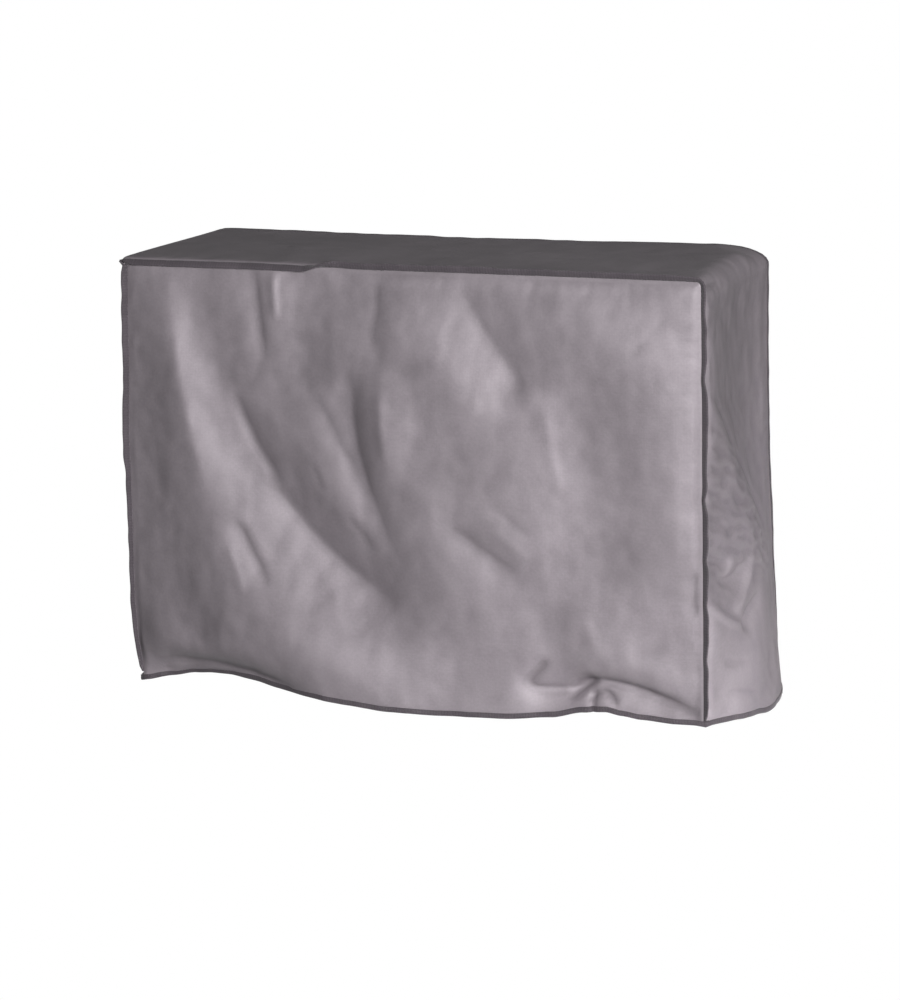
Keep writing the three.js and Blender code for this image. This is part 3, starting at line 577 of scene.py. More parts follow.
class Seam:
    """Corner line where a panel, the strip and their tape are sewn together.

    Both cloths turn outward here and run into the folded tape, one on each side of its middle.
    """

    def __init__(self, deep_share, width, thick, ripple, lean, seed):
        self.ahead = -1 if deep_share == 0 else 1
        stations = strip_stations(deep_share, SEAM_CELLS, -HEM_TUCK, sides=False)
        self.x, self.up, self.out_x, self.out_z = stations.T
        self.y = strip_y(self.x, self.up, deep_share)
        self.run = run_of(stations[:, :2])
        self.from_end = np.minimum(self.run, self.run[-1] - self.run)
        small, broad = waver(self.run / SMALL_WAVE, seed), waver(self.run / BROAD_WAVE, seed + 5)
        self.angle = np.radians(lean(self) + SMALL_TILT * small + BROAD_TILT * broad)
        self.half = thick / 2
        self.near = TAPE_GAP + self.half * np.maximum(0, -np.sin(self.angle)) / np.cos(self.angle)
        # The tape is narrower on the left, at both its ends and at the top left corner.
        # Columns: distance from there, share of the width that it has there, reach.
        corner = np.hypot(self.x + WIDTH / 2, self.up - HEIGHT)
        for away, share, reach in (
            (self.run, 0.6, 480), (self.from_end - HEM_TUCK, 0.5, 9), (corner, 0.4, 22),
        ):
            width = width * mix(share, 1, smooth(away / reach))
        self.far = self.near + width + ripple * (SMALL_RIPPLE * small + BROAD_RIPPLE * broad)
        full_tuck = self.far - TAPE_SLOT - EDGE_GAP
        self.tucked = full_tuck * smooth((self.from_end - HEM_TUCK) / TUCK_FADE) + LEAST_TUCK

    def nearest(self, x, up):
        """Stations of the seam that lie nearest to these places."""
        away = (np.ravel(x)[:, None] - self.x) ** 2 + (np.ravel(up)[:, None] - self.up) ** 2
        return away.argmin(1)

    def inset(self, x, up):
        """Distance from the corner at which a panel's outer face turns into the tape."""
        at = self.nearest(x, up)
        return 2 * CLOTH * np.cos(self.angle[at]).reshape(np.shape(x))

    def steps(self, at, share):
        """Ways from the turn into the tape, in space, at a share of the tucked length."""
        reach = self.tucked[at] * share
        forward, out = reach * np.cos(self.angle[at]), reach * np.sin(self.angle[at])
        return np.stack([out * self.out_x[at], self.ahead * forward, out * self.out_z[at]], axis=-1)

    def place(self, at, share, offset):
        """Places on the tape at a share of its width and an offset from its middle."""
        reach = mix(self.near[at], self.far[at], share)
        sine, cosine = np.sin(self.angle[at]), np.cos(self.angle[at])
        forward = reach * cosine - (offset + CLOTH) * sine
        out = reach * sine + (offset - CLOTH) * cosine
        return lifted(np.stack([
            self.x[at] + out * self.out_x[at],
            self.y[at] + self.ahead * forward,
            self.up[at] + out * self.out_z[at] - HEIGHT,
        ], axis=-1))


def columns_between(wide, count):
    """Places of the columns or rows of cloth between two seams, closer beside them."""
    inner = np.linspace(SEAM_COLUMNS[-1] + SEAM_COLUMN_END, wide - SEAM_COLUMNS[-1] - SEAM_COLUMN_END, count)
    return np.concatenate([SEAM_COLUMNS, inner, wide - np.array(SEAM_COLUMNS[::-1])])


def panel_grid(seam, across, rows, relief, hem_at):
    """Outer face of the front or back panel, from the hem up and from left to right, and its lie as cut."""
    side, deep_share = seam.ahead, (seam.ahead + 1) / 2
    half, deep = WIDTH / 2, deep_share * DEPTH
    share = np.linspace(0, 1, rows + 1)[:, None]
    nominal = columns_between(WIDTH, across)[None, :]
    top = HEIGHT + SOLID_CLOTH - seam.inset(nominal - half, np.full(nominal.shape, HEIGHT))
    corner_down = max(corner_at(corner, deep)[1] for corner in (LEFT_CORNER, RIGHT_CORNER))
    low_bend = top - corner_down
    rising = mix(hem_at(nominal) - HEM_TUCK, low_bend, np.clip(share / (1 - BEND_ROWS), 0, 1))
    turn = np.clip((share - 1 + BEND_ROWS) / BEND_ROWS, 0, 1) * math.pi / 2
    up = np.where(share > 1 - BEND_ROWS, low_bend + corner_down * np.sin(turn), rising)

    def edge_inset(corner, x, column):
        """Distance of a side edge from the corner line. It grows where the edge bends into the top."""
        reach, down, power = corner_at(corner, deep)
        inset = seam.inset(np.full(len(up), x), up[:, column])[:, None]
        rise = np.clip((up - (HEIGHT + SOLID_CLOTH - down)) / (down - inset), 0, 1)
        return inset + (reach - inset) * (1 - (1 - rise ** power) ** (1 / power))

    left = -half - along(LEFT_BOW, up) * mix(1, BACK_BOW, deep_share) + edge_inset(LEFT_CORNER, -half, 0)
    right = half + along(FLARE_RIGHT, up) * deep_share - edge_inset(RIGHT_CORNER, half, -1)
    x = mix(left, right, nominal / WIDTH)
    nominal = np.broadcast_to(nominal, x.shape)
    flare = deep_share * along(FLARE_BACK, up) * smooth(x / half)
    y = side * (DEPTH / 2 + relief(nominal, up) + puff(edge_gap(nominal, up, WIDTH))) + flare
    return np.stack([x, y, up - HEIGHT], axis=-1), np.stack([nominal, up], axis=-1)


def tucked_rows(edge, lie, seam, way=None):
    """Rows that run on from an edge of cloth into the tape, and their lie as cut, along a way or outward."""
    at = seam.nearest(edge[:, 0], edge[:, 2] + HEIGHT)
    if way is None:
        way = np.stack([seam.out_x[at], seam.out_z[at]], axis=-1)
    rows = [edge + seam.steps(at, share) for share in TUCK_SHARES]
    return rows, [lie + share * seam.tucked[at][:, None] * way for share in TUCK_SHARES]


def strip_grid(cells, rows, front_seam, back_seam):
    """Outer face of the strip, from the front to the back and from the left hem over to the right one."""
    grid, flat = [], []
    inset = CLOTH * math.sqrt(2)
    for deep in inset + columns_between(DEPTH - 2 * inset, rows):
        share = deep / DEPTH
        stations = strip_stations(share, cells, -HEM_TUCK)
        x, up, _, out_z = stations.T
        y = strip_y(x, up, share)
        for seam, away in ((front_seam, deep), (back_seam, DEPTH - deep)):
            if away < TURN_SEEN:
                turn = 2 * CLOTH * np.sin(seam.angle[seam.nearest(x, up)]) - inset
                y = y - seam.ahead * turn * np.exp(-(away - inset) / TURN_FADE)
        edge = min(deep, DEPTH - deep)
        _, seed, height, reach = TOP_GATHERS[0 if share < 0.5 else 1]
        sag = crumple(x, np.full(len(x), deep), TOP_SEED, TOP_HUMPS) + pucker(x, edge, seed, height, reach)
        on_top = out_z * smooth((WIDTH / 2 - TOP_MARGIN - np.abs(x)) / TOP_FADE)
        lift = sag * on_top * smooth(edge / SEAM_FADE)
        grid.append(np.stack([x, y, up - HEIGHT + lift], axis=-1))
        flat.append(np.stack([run_of(stations[:, :2]), np.full(len(x), deep)], axis=-1))
    front_rows, front_lies = tucked_rows(grid[0], flat[0], front_seam, (0, -1))
    back_rows, back_lies = tucked_rows(grid[-1], flat[-1], back_seam, (0, 1))
    return np.array(front_rows[::-1] + grid + back_rows), np.array(front_lies[::-1] + flat + back_lies)


def sewn_edge(rows, columns):
    """Numbers of the places on a panel's left side, top and right side, in order."""
    ids = np.arange(rows * columns).reshape(rows, columns)
    return [*ids[:, 0], *ids[-1, 1:], *ids[-2::-1, -1]]


def add_object(name, mesh, *materials):
    """Smooth-shaded object in the scene, with its materials."""
    piece = bpy.data.objects.new(name, mesh)
    bpy.context.scene.collection.objects.link(piece)
    for material in materials:
        mesh.materials.append(material)
    mesh.shade_smooth()
    return piece


def lay_flat(mesh, places):
    """Lays the mesh flat as its cloth or tape was cut, so that woven patterns follow it."""
    corners = np.empty(len(mesh.loops), np.int32)
    mesh.loops.foreach_get("vertex_index", corners)
    lie = mesh.uv_layers.new(name="cut")
    lie.data.foreach_set("uv", (places[corners] * MM).astype(np.float32).ravel())


def declare(piece, solid=None):
    """Fixes a piece to the cover, and hides the solid that it stands for."""
    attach(piece, "root")
    if solid:
        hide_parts(solid)


def standing_out(grid):
    """How far each place stands out from its neighbours, in millimetres: crests above 0, troughs below."""
    far, near = NEIGHBOURS
    padded = np.pad(grid, ((far, far), (far, far), (0, 0)), mode="edge")
    rows, columns = grid.shape[:2]
    ways = [(0, -far), (0, far), (-far, 0), (far, 0)]
    ways += [(-near, -near), (near, near), (-near, near), (near, -near)]
    around = sum(padded[far + down:far + down + rows, far + over:far + over + columns] for down, over in ways)
    normal = np.cross(np.gradient(grid, axis=1), np.gradient(grid, axis=0))
    normal /= np.maximum(np.linalg.norm(normal, axis=-1, keepdims=True), 1e-9)
    bend = ((grid - around / len(ways)) * normal).sum(-1)
    bend[:far] = bend[-far:] = 0
    bend[:, :far] = bend[:, -far:] = 0
    return bend


def add_cloth(name, grid, flat, seam):
    """Sheet from a grid of places in millimetres, thickened to its inner side, with a coated inner face."""
    rows, columns = grid.shape[:2]
    ids = np.arange(rows * columns).reshape(rows, columns)
    quads = np.stack([ids[:-1, :-1], ids[:-1, 1:], ids[1:, 1:], ids[1:, :-1]], axis=-1).reshape(-1, 4)
    crests = np.clip(0.5 + 0.5 * standing_out(grid).ravel(), 0, 1)
    places, lies = grid.reshape(-1, 3), flat.reshape(-1, 2)
    if seam:
        last = sewn_edge(rows, columns)
        for row, lie in zip(*tucked_rows(places[last], lies[last], seam)):
            outer = range(len(places), len(places) + len(row))
            quads = np.vstack([quads, np.stack([last[:-1], last[1:], outer[1:], outer[:-1]], axis=-1)])
            places, lies, last = np.vstack([places, row]), np.vstack([lies, lie]), outer
    mesh = bpy.data.meshes.new(name)
    mesh.from_pydata((lifted(places) * MM).tolist(), [], quads.tolist())
    lay_flat(mesh, lies)
    # Crests go up from 0.5, which is level, and troughs go down from it; the cloth's material paints shade
    # into the troughs and a highlight on the crests from it
    crest = mesh.attributes.new("crest", "FLOAT", "POINT")
    level = np.full(len(places) - len(crests), 0.5)
    crest.data.foreach_set("value", np.concatenate([crests, level]).astype(np.float32))
    piece = add_object(name, mesh, finishes()["cloth"], finishes()["inside"])
    body = piece.modifiers.new("cloth thickness", "SOLIDIFY")
    body.thickness = CLOTH * MM
    body.offset = -1
    body.use_even_offset = False
    body.material_offset = 1
    body.material_offset_rim = 0
    return piece


def add_tape(name, sections, closed):
    """Tape from sections with the same number of corners, in millimetres."""
    sections = np.array(sections, float)
    count, corners = sections.shape[:2]
    ids = np.arange(count * corners).reshape(count, corners)
    after = np.roll(ids, -1, axis=0) if closed else ids[1:]
    here = ids if closed else ids[:-1]
    quads = np.stack([here, np.roll(here, -1, axis=1), np.roll(after, -1, axis=1), after], axis=-1)
    faces = quads.reshape(-1, 4).tolist()
    if not closed:
        faces += [ids[0][::-1].tolist(), ids[-1].tolist()]
    mesh = bpy.data.meshes.new(name)
    mesh.from_pydata((sections.reshape(-1, 3) * MM).tolist(), [], faces)
    run, around = np.meshgrid(run_of(sections.mean(1)), run_of(sections[0]), indexing="ij")
    lay_flat(mesh, np.stack([run, around], axis=-1).reshape(-1, 2))
    return add_object(name, mesh, finishes()["tape"])


def add_thread(name, places, ways, outs, length, width):
    """Row of sewn stitches. Each lies along its way, with both ends drawn down into the tape."""
    turns = np.arange(THREAD_SIDES) * 2 * math.pi / THREAD_SIDES
    vertices, faces = [], []
    for place, way, out in zip(places, ways, outs):
        across = np.cross(way, out)
        rings = []
        for share, swell, sink in STITCH_RINGS:
            centre = place + way * share * length - out * sink * width / 2
            rings.append(range(len(vertices), len(vertices) + THREAD_SIDES))
            for turn in turns:
                swing = across * math.cos(turn) + out * math.sin(turn)
                vertices.append(tuple((centre + swing * swell * width / 2) * MM))
        for low, high in zip(rings, rings[1:]):
            for k in range(THREAD_SIDES):
                after = (k + 1) % THREAD_SIDES
                faces.append((low[k], high[k], high[after], low[after]))
        faces += [list(rings[0]), list(rings[-1])[::-1]]
    mesh = bpy.data.meshes.new(name)
    mesh.from_pydata(vertices, [], faces)
    return add_object(name, mesh, finishes()["thread"])


def front_lean(seam):
    """Angle of the front tape out of the way forward, in degrees."""
    on_top = smooth((seam.out_z - FACING_UP) / FACING_FADE)
    top = mix(LEAN_HANGING, LEAN_TOP, smooth((seam.x - HANGING_END) / HANGING_FADE))
    lean = mix(np.where(seam.x < 0, LEAN_LEFT, LEAN_RIGHT), top, on_top)
    for side, up, turn, half in FRONT_NICKS:
        here = (seam.x > 0) == (side == "right")
        lean = lean + turn * here * np.exp(-((seam.up - up) / half) ** 2)
    return lean


def back_lean(seam):
    """Angle of the back tape out of the way backward, in degrees."""
    return np.full(len(seam.run), LEAN_BACK)


def seam_tape(name, seam):
    """Folded tape on a seam, with the lines of its two rows of stitches and the ways out of them."""
    at = np.flatnonzero(seam.from_end > HEM_TUCK - TAPE_OVERHANG)[::2]
    corners = [seam.place(at, share, seam.half * offset) for share, offset in SEAM_SECTION]
    # The slot around the two cloths runs up from the foot of the tape and ends short of its far edge
    slot_end = 1 - TAPE_SLOT / (seam.far - seam.near)[at]
    for share, side in ((0, 1), (slot_end, 1), (slot_end, -1), (0, -1)):
        corners.append(seam.place(at, share, side * TAPE_SLOT))
    tape = add_tape(name, np.stack(corners[::seam.ahead], axis=1), False)
    rows = [seam.place(at, STITCH_SHARE, side * seam.half * STITCH_OUT) for side in (-1, 1)]
    outward = [seam.place(at, STITCH_SHARE, side * seam.half * 2) - row for side, row in zip((-1, 1), rows)]
    return tape, rows, outward


def stitch_rows(name, rows, outward, closed, sizes):
    """Stitches at an even pitch along each row."""
    lengths = (sizes.stitch_pitch, sizes.stitch_length, sizes.thread_width)
    pitch, length, width = (size / MM for size in lengths)
    places, ways, outs = [], [], []
    for row, out in zip(rows, outward):
        if closed:
            row, out = np.vstack([row, row[:1]]), np.vstack([out, out[:1]])
        run = run_of(row)
        at = np.arange(pitch, run[-1] - pitch, pitch)

        def read(values, where):
            return np.stack([np.interp(where, run, values[:, k]) for k in range(3)], axis=-1)

        way = read(row, at + length / 2) - read(row, at - length / 2)
        normal = read(out, at)
        way /= np.linalg.norm(way, axis=1, keepdims=True)
        normal -= way * (normal * way).sum(1, keepdims=True)
        normal /= np.linalg.norm(normal, axis=1, keepdims=True)
        places.append(read(row, at))
        ways.append(way)
        outs.append(normal)
    return add_thread(name, np.concatenate(places), np.concatenate(ways), np.concatenate(outs), length, width)


def hem_line(front, back, strip):
    """Line of all four lower edges, in plan view from the front left around, and the ways out of it."""
    into = CLOTH / 2
    front_edge = front[0] + (0, into, 0)
    right_edge = strip[:, -1] - (into, 0, 0)
    back_edge = back[0][::-1] - (0, into, 0)
    left_edge = strip[::-1, 0] + (into, 0, 0)
    places, outs = [], []
    before = (-1, 0, 0)
    for edge, corner, axis, out in (
        (front_edge, front_edge[0], 0, (0, -1, 0)), (right_edge, front_edge[-1], 1, (1, 0, 0)),
        (back_edge, back_edge[0], 0, (0, 1, 0)), (left_edge, back_edge[-1], 1, (-1, 0, 0)),
    ):
        turn = np.add(before, out)
        low, high = sorted((edge[0][axis], edge[-1][axis]))
        kept = [place for place in edge if low + NOSE_REACH < place[axis] < high - NOSE_REACH]
        places += [corner + NOSE * turn] + kept
        outs += [turn] + [out] * len(kept)
        before = out
    return np.array(places) + (0, 0, HEM_TUCK), np.array(outs, float)


def node(tree, kind, inputs=(), stops=(), **settings):
    """Adds a node with its settings. Each input, by name or number, takes a value or another node's socket.

    The stops of a colour ramp are (place, grey).
    """
    made = tree.nodes.new(kind)
    for key, value in settings.items():
        setattr(made, key, value)
    for key, value in dict(inputs).items():
        if isinstance(value, bpy.types.NodeSocket):
            tree.links.new(value, made.inputs[key])
        else:
            made.inputs[key].default_value = value
    if len(stops) > 2:
        made.color_ramp.elements.new(0.5)
    for k, (place, grey) in enumerate(stops):
        made.color_ramp.elements[k].position = place
        made.color_ramp.elements[k].color = (grey, grey, grey, 1)
    return made


def new_material(name):
    """Empty material that uses nodes, and its node tree."""
    material = bpy.data.materials.new(name)
    material.use_nodes = True
    material.node_tree.nodes.clear()
    return material, material.node_tree


def mottled(tree, colour, layers):
    """Colour made darker and paler along patterns. Columns: pattern, stops of (place, share of colour)."""
    for pattern, stops in layers:
        shade = node(tree, "ShaderNodeValToRGB", {"Fac": pattern}, stops)
        colour = node(tree, "ShaderNodeMix", {0: 1.0, 6: colour, 7: shade.outputs["Color"]},
                      data_type="RGBA", blend_type="MULTIPLY").outputs[2]
    return colour


def embossed(tree, layers):
    """Surface with bumps laid over each other. Columns: pattern, strength, height in millimetres."""
    under = {}
    for pattern, strength, height in layers:
        bump = node(tree, "ShaderNodeBump", {
            "Height": pattern, "Strength": strength, "Distance": height * MM, **under,
        })
        under = {"Normal": bump.outputs[0]}
    return bump.outputs[0]


def woven_cloth(name, colour, rough, sheen, crease_shade):
    """Plain-woven polyester with a polyurethane coat.

    The flat filament yarns and the coat give a soft, broad sheen, so folds that turn to the light go pale
    and those that turn away go dark. The real yarns are about 0.4 mm apart; they are drawn coarser to show.
    """
    material, tree = new_material(name)
    uv = node(tree, "ShaderNodeUVMap", uv_map="cut").outputs["UV"]
    across, upward = (
        node(tree, "ShaderNodeTexWave", {
            "Vector": uv, "Scale": WAVE_CYCLE / (YARNS_DRAWN * MM), "Distortion": 0.4,
        }, wave_type="BANDS", bands_direction=way).outputs["Color"]
        for way in "XY")
    weave = node(tree, "ShaderNodeMix", {0: 1.0, 6: across, 7: upward},
                 data_type="RGBA", blend_type="MULTIPLY").outputs[2]
    slubs, unevenness, clouds = (
        node(tree, "ShaderNodeTexNoise", {
            "Vector": uv, "Scale": 1 / (size * MM), "Detail": detail, "Roughness": coarse,
        }).outputs["Fac"]
        for size, detail, coarse in CLOTH_PATTERNS)
    crest = node(tree, "ShaderNodeAttribute", attribute_name="crest").outputs["Fac"]
    # The tone is mottled at random, and the crest attribute darkens the troughs of the folds with painted
    # shade and lightens their crests with a painted highlight
    tone = mottled(tree, (*linear(colour), 1), (
        (clouds, [(0.3, 0.91), (0.7, 1.07)]),
        (unevenness, [(0.3, 0.95), (0.7, 1.05)]),
        (slubs, [(0.35, 0.96), (0.65, 1.04)]),
        (crest, [(0.2, 1 - crease_shade), (0.5, 1.0), (0.8, 1 + crease_shade / 2)]),
    ))
    gloss = node(tree, "ShaderNodeValToRGB", {"Fac": unevenness}, [(0.3, rough - 0.05), (0.7, rough + 0.06)])
    surface = embossed(tree, ((weave, 0.12, 0.2), (unevenness, 0.35, 2.2), (slubs, 0.22, 0.35)))
    shader = node(tree, "ShaderNodeBsdfPrincipled", {
        "Base Color": tone, "Roughness": gloss.outputs["Color"], "Normal": surface,
        "IOR": 1.5, "Metallic": 0.2, "Sheen Weight": sheen, "Sheen Roughness": 0.45,
    })
    node(tree, "ShaderNodeOutputMaterial", {"Surface": shader.outputs[0]})
    return material


def ribbed_tape(name, colour):
    """Folded polyester binding tape, woven with cross ribs and left uncoated.

    The ribs catch no gloss, so the tape stays a shade darker and flatter than the cloth beside it.
    The real ribs are about 0.7 mm apart; they are drawn about 4 mm apart to show.
    """
    material, tree = new_material(name)
    uv = node(tree, "ShaderNodeUVMap", uv_map="cut").outputs["UV"]
    ribs = node(tree, "ShaderNodeTexWave", {
        "Vector": uv, "Scale": WAVE_CYCLE / (RIBS_DRAWN * MM), "Distortion": 1.2,
    }, wave_type="BANDS", bands_direction="X").outputs["Color"]
    fuzz, patches = (
        node(tree, "ShaderNodeTexNoise", {
            "Vector": uv, "Scale": 1 / (size * MM), "Detail": detail, "Roughness": coarse,
        }).outputs["Fac"]
        for size, detail, coarse in TAPE_PATTERNS)
    tone = mottled(tree, (*linear(colour), 1), (
        (patches, [(0.3, 0.84), (0.7, 1.16)]),
        (fuzz, [(0.3, 0.92), (0.7, 1.08)]),
        (ribs, [(0.0, 0.88), (1.0, 1.04)]),
    ))
    shader = node(tree, "ShaderNodeBsdfPrincipled", {
        "Base Color": tone, "Normal": embossed(tree, ((ribs, 0.4, 0.3), (fuzz, 0.3, 0.3))),
        "Roughness": 0.82, "IOR": 1.5, "Sheen Weight": 0.2, "Sheen Roughness": 0.5,
    })
    node(tree, "ShaderNodeOutputMaterial", {"Surface": shader.outputs[0]})
    return material


def spun_thread(name, colour):
    """Twisted polyester sewing thread, which gives each stitch a small soft glint."""
    material, tree = new_material(name)
    place = node(tree, "ShaderNodeTexCoord").outputs["Object"]
    twist = node(tree, "ShaderNodeTexNoise", {
        "Vector": place, "Scale": 1 / (TWIST_LENGTH * MM), "Detail": 2.0,
    }).outputs["Fac"]
    tone = mottled(tree, (*linear(colour), 1), [(twist, [(0.3, 0.85), (0.7, 1.12)])])
    shader = node(tree, "ShaderNodeBsdfPrincipled", {
        "Base Color": tone, "Roughness": 0.55, "IOR": 1.5, "Sheen Weight": 0.1,
    })
    node(tree, "ShaderNodeOutputMaterial", {"Surface": shader.outputs[0]})
    return material


def floor_paint(name, colour):
    """Rolled matt paint, which gives no gloss. The camera sees it burnt out to white, like the air."""
    material, tree = new_material(name)
    place = node(tree, "ShaderNodeTexCoord").outputs["Object"]
    clouds = node(tree, "ShaderNodeTexNoise", {
        "Vector": place, "Scale": 1 / (FLOOR_CLOUD * MM), "Detail": 2.0,
    }).outputs["Fac"]
    tone = mottled(tree, (*colour, 1), [(clouds, [(0.3, 0.97), (0.7, 1.0)])])
    matt = node(tree, "ShaderNodeBsdfPrincipled", {"Base Color": tone, "Roughness": 0.9})
    glow = node(tree, "ShaderNodeEmission", {"Color": (1, 1, 1, 1), "Strength": 1.0})
    seen = node(tree, "ShaderNodeLightPath").outputs["Is Camera Ray"]
    both = node(tree, "ShaderNodeMixShader", {0: seen, 1: matt.outputs[0], 2: glow.outputs[0]})
    node(tree, "ShaderNodeOutputMaterial", {"Surface": both.outputs[0]})
    return material


FINISHES = {}


def finishes():
    """The cover's materials, made once."""
    if not FINISHES:
        # The last number of each cloth is the strength of the painted shade in fold troughs and the painted
        # highlight on crests
        FINISHES["cloth"] = woven_cloth("coated oxford cloth", "#968e94", 0.58, 0.04, 0.10)
        FINISHES["inside"] = woven_cloth("coated oxford cloth, inner face", "#8b858b", 0.6, 0.05, 0.04)
        FINISHES["tape"] = ribbed_tape("woven binding tape", "#544d53")
        FINISHES["thread"] = spun_thread("polyester sewing thread", "#4d474c")
    return FINISHES


def length_property(name, description, default, low, high):
    """Length in millimetres that a user can change."""
    return FloatProperty(
        name=name, description=description, default=default * MM, min=low * MM, max=high * MM,
        subtype="DISTANCE", unit="LENGTH")


def power_property(name, description, default, high):
    """Power of a light in watts."""
    return FloatProperty(
        name=name, description=description, default=default, min=0, max=high, subtype="POWER", unit="POWER")


class CoverSizes(bpy.types.PropertyGroup):
    front_tape_width: length_property(
        "Front tape width", "How far the front seam tape stands off its seam", 9.5, 4, 20)
    back_tape_width: length_property(
        "Back tape width", "How far the back seam tape stands off its seam", 4.5, 4, 20)
    tape_thickness: length_property(
        "Tape thickness", "Thickness of the tape folded over the cloth edges", 3.2, 2.4, 5)
    stitch_pitch: length_property("Stitch pitch", "Distance from one stitch to the next", 5.2, 2, 10)
    stitch_length: length_property("Stitch length", "Length of each stitch", 3.9, 1, 8)
    thread_width: length_property("Thread width", "Thickness of the sewing thread", 0.8, 0.2, 2)


class CoverFinish(bpy.types.PropertyGroup):
    floor_colour: FloatVectorProperty(
        name="Floor colour", description="Paint of the studio floor", default=linear("#f4f4f4"),
        size=3, min=0, max=1, subtype="COLOR")
    key_power: power_property("Key light", "Power of the broad light beside the camera", 272.0, 2000)
    fill_power: power_property("Fill light", "Power of the soft light behind the cover", 118.0, 2000)
    low_power: power_property(
        "Low light", "Power of the small gridded light beside the lower right corner", 1.1, 200)


# Seams and grids of cloth that later steps build on
SEAMS = {}
SHEETS = {}


class COVER_OT_cloth(bpy.types.Operator):
    """Cut and drape the front panel, the strip and the back panel"""
    bl_idname = "cover.cloth"
    bl_label = "Cloth panels"

    def execute(self, context):
        sizes = context.scene.cover_sizes
        thick = sizes.tape_thickness / MM
        front = Seam(0, sizes.front_tape_width / MM, thick, FRONT_RIPPLE, front_lean, seed=21.0)
        back = Seam(1, sizes.back_tape_width / MM, thick, BACK_RIPPLE, back_lean, seed=33.0)
        SEAMS.update(front=front, back=back)
        SHEETS["front"], front_lie = panel_grid(
            front, *FRONT_CELLS, front_relief, lambda x: along(FRONT_HEM, x))
        SHEETS["back"], back_lie = panel_grid(
            back, *BACK_CELLS, back_relief, lambda x: np.full(np.shape(x), float(SIDE_HEM[-1][1])))
        SHEETS["strip"], strip_lie = strip_grid(STRIP_CELLS, STRIP_ROWS, front, back)
        # The back panel is seen from behind, so its columns run the other way
        for name, solid, grid, lie, seam in (
            ("front_cloth", "front_panel", SHEETS["front"], front_lie, front),
            ("back_cloth", "back_panel", SHEETS["back"][:, ::-1], back_lie[:, ::-1], back),
            ("gusset_cloth", "gusset", SHEETS["strip"], strip_lie, None),
        ):
            declare(add_cloth(name, grid, lie, seam), solid)
        return {"FINISHED"}


class COVER_OT_seam_tapes(bpy.types.Operator):
    """Fold the tapes over the front and back seams and sew them"""
    bl_idname = "cover.seam_tapes"
    bl_label = "Seam tapes"

    def execute(self, context):
        for name, seam in SEAMS.items():
            tape, rows, outward = seam_tape(name + "_tape", seam)
            declare(tape, name + "_binding")
            declare(stitch_rows(name + "_stitches", rows, outward, False, context.scene.cover_sizes))
        return {"FINISHED"}


class COVER_OT_hem_tape(bpy.types.Operator):
    """Fold the tape over the open lower edge and sew it"""
    bl_idname = "cover.hem_tape"
    bl_label = "Hem tape"

    def execute(self, context):
        sizes = context.scene.cover_sizes
        half = sizes.tape_thickness / MM / 2
        tuck = len(TUCK_SHARES)
        places, outs = hem_line(SHEETS["front"], SHEETS["back"], SHEETS["strip"][tuck:-tuck])
        sections = [
            [place + out * half * share - (0, 0, drop) for share, drop in HEM_SECTION]
            for place, out in zip(places, outs)
        ]
        declare(add_tape("hem_tape", sections, True), "hem_binding")
        rows = [places + outs * half * HEM_STITCH_OUT * side - (0, 0, HEM_STITCH_DROP) for side in (1, -1)]
        declare(stitch_rows("hem_stitches", rows, [outs, -outs], True, sizes))
        return {"FINISHED"}


def facing(azimuth, elevation):
    """Way from the cover toward a light or the camera. Azimuth 0 is in front, 90 at the right."""
    a, e = math.radians(azimuth), math.radians(elevation)
    return Vector((math.sin(a) * math.cos(e), -math.cos(a) * math.cos(e), math.sin(e)))


def add_floor(colour):
    """Wide pale floor, far below, that sends no light back up to the cover."""
    mesh = bpy.data.meshes.new("studio_floor")
    corners = [(x * FLOOR_HALF, y * FLOOR_HALF, FLOOR_LEVEL) for x, y in ((-1, -1), (1, -1), (1, 1), (-1, 1))]
    mesh.from_pydata(corners, [], [(0, 1, 2, 3)])
    floor = add_object("studio_floor", mesh, floor_paint("matt floor paint", colour))
    floor.visible_diffuse = False


def add_air(scene):
    """Air of the studio: white to the camera, and dim as a light."""
    scene.world = bpy.data.worlds.new("studio air")
    scene.world.use_nodes = True
    tree = scene.world.node_tree
    tree.nodes.clear()
    seen = node(tree, "ShaderNodeLightPath").outputs["Is Camera Ray"]
    dim, white = (node(tree, "ShaderNodeBackground", {"Color": (1, 1, 1, 1), "Strength": strength}).outputs[0]
                  for strength in (AIR_LIGHT, 1.0))
    both = node(tree, "ShaderNodeMixShader", {0: seen, 1: dim, 2: white})
    node(tree, "ShaderNodeOutputWorld", {"Surface": both.outputs[0]})


def add_lights(scene, finish):
    """Round soft lights, each turned to its target."""
    for name, azimuth, elevation, distance, size, spread, power, target in LIGHTS:
        back = facing(azimuth, elevation)
        light = bpy.data.lights.new(name, "AREA")
        light.shape = "DISK"
        light.size = size
        light.spread = math.radians(spread)
        light.energy = getattr(finish, power)
        holder = bpy.data.objects.new(name, light)
        holder.location = Vector(target) + back * distance
        holder.rotation_euler = back.to_track_quat("Z", "Y").to_euler()
        scene.collection.objects.link(holder)


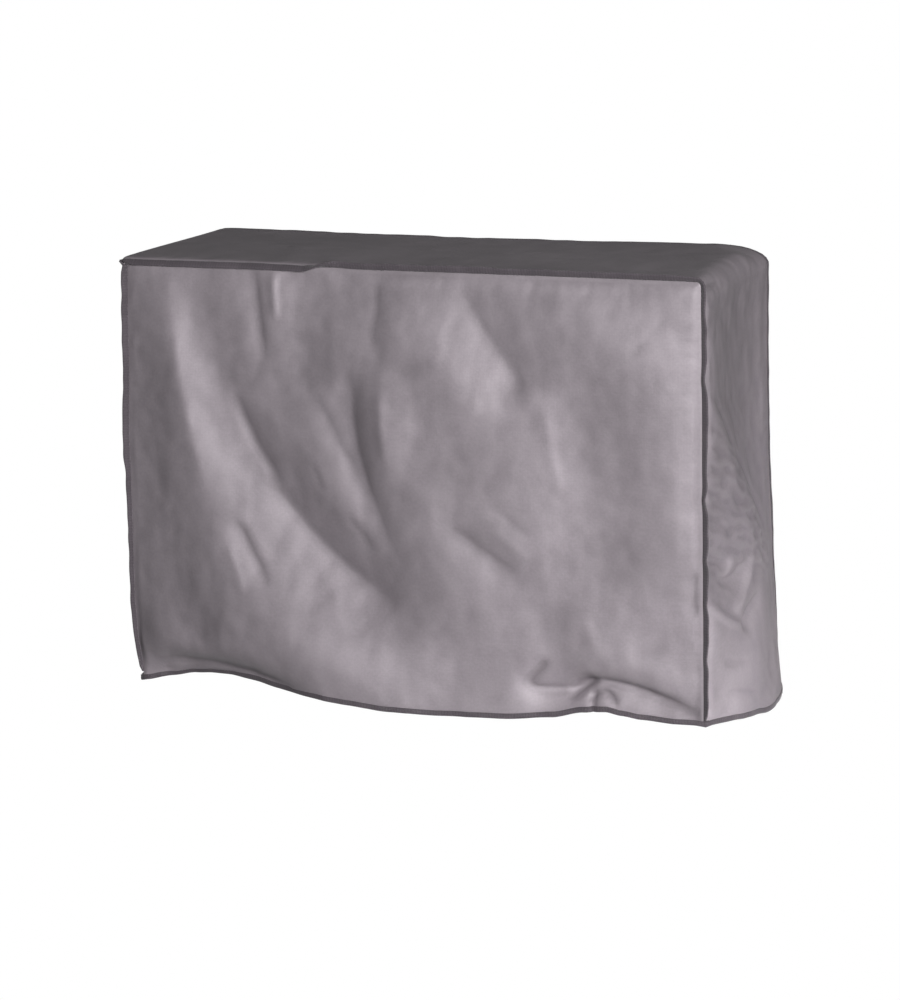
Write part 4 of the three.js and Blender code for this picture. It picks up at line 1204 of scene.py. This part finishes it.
def add_camera(scene):
    """Camera that stands where the photo's corners of the cover put it."""
    back, roll = facing(CAMERA_AZIMUTH, CAMERA_ELEVATION), math.radians(CAMERA_ROLL)
    level = Vector((0, 0, 1)).cross(back).normalized()
    upright = back.cross(level)
    right = level * math.cos(roll) + upright * math.sin(roll)
    up = upright * math.cos(roll) - level * math.sin(roll)
    lens = bpy.data.cameras.new("camera")
    lens.sensor_width = SENSOR
    lens.lens = FOCAL_LENGTH
    lens.clip_end = CLIP_END
    camera = bpy.data.objects.new("camera", lens)
    camera.matrix_world = Matrix((*zip(right, up, back, CAMERA_PLACE), (0, 0, 0, 1)))
    scene.collection.objects.link(camera)
    scene.camera = camera


class COVER_OT_stage(bpy.types.Operator):
    """Set up the floor, the soft studio lights and the camera"""
    bl_idname = "cover.stage"
    bl_label = "Studio"

    def execute(self, context):
        scene = context.scene
        add_floor(scene.cover_finish.floor_colour)
        add_air(scene)
        add_lights(scene, scene.cover_finish)
        add_camera(scene)
        scene.view_settings.view_transform = "Standard"
        return {"FINISHED"}


class COVER_PT_panel(bpy.types.Panel):
    """Lists the steps that dress the cover"""
    bl_idname = "COVER_PT_panel"
    bl_label = "Fitted cloth cover"
    bl_space_type = "VIEW_3D"
    bl_region_type = "UI"
    bl_category = "Cover"

    def draw(self, context):
        for step in STEPS:
            self.layout.operator(step.bl_idname)
        for group in (context.scene.cover_sizes, context.scene.cover_finish):
            for key in group.bl_rna.properties.keys():
                if key not in ("rna_type", "name"):
                    self.layout.prop(group, key)


STEPS = (COVER_OT_cloth, COVER_OT_seam_tapes, COVER_OT_hem_tape, COVER_OT_stage)
CLASSES = (CoverSizes, CoverFinish, *STEPS, COVER_PT_panel)


def register():
    for item in CLASSES:
        bpy.utils.register_class(item)
    bpy.types.Scene.cover_sizes = PointerProperty(type=CoverSizes)
    bpy.types.Scene.cover_finish = PointerProperty(type=CoverFinish)


def unregister():
    del bpy.types.Scene.cover_finish
    del bpy.types.Scene.cover_sizes
    for item in reversed(CLASSES):
        bpy.utils.unregister_class(item)


def main():
    register()
    bpy.ops.cover.cloth()
    bpy.ops.cover.seam_tapes()
    bpy.ops.cover.hem_tape()
    bpy.ops.cover.stage()


if __name__ == "__main__":
    main()
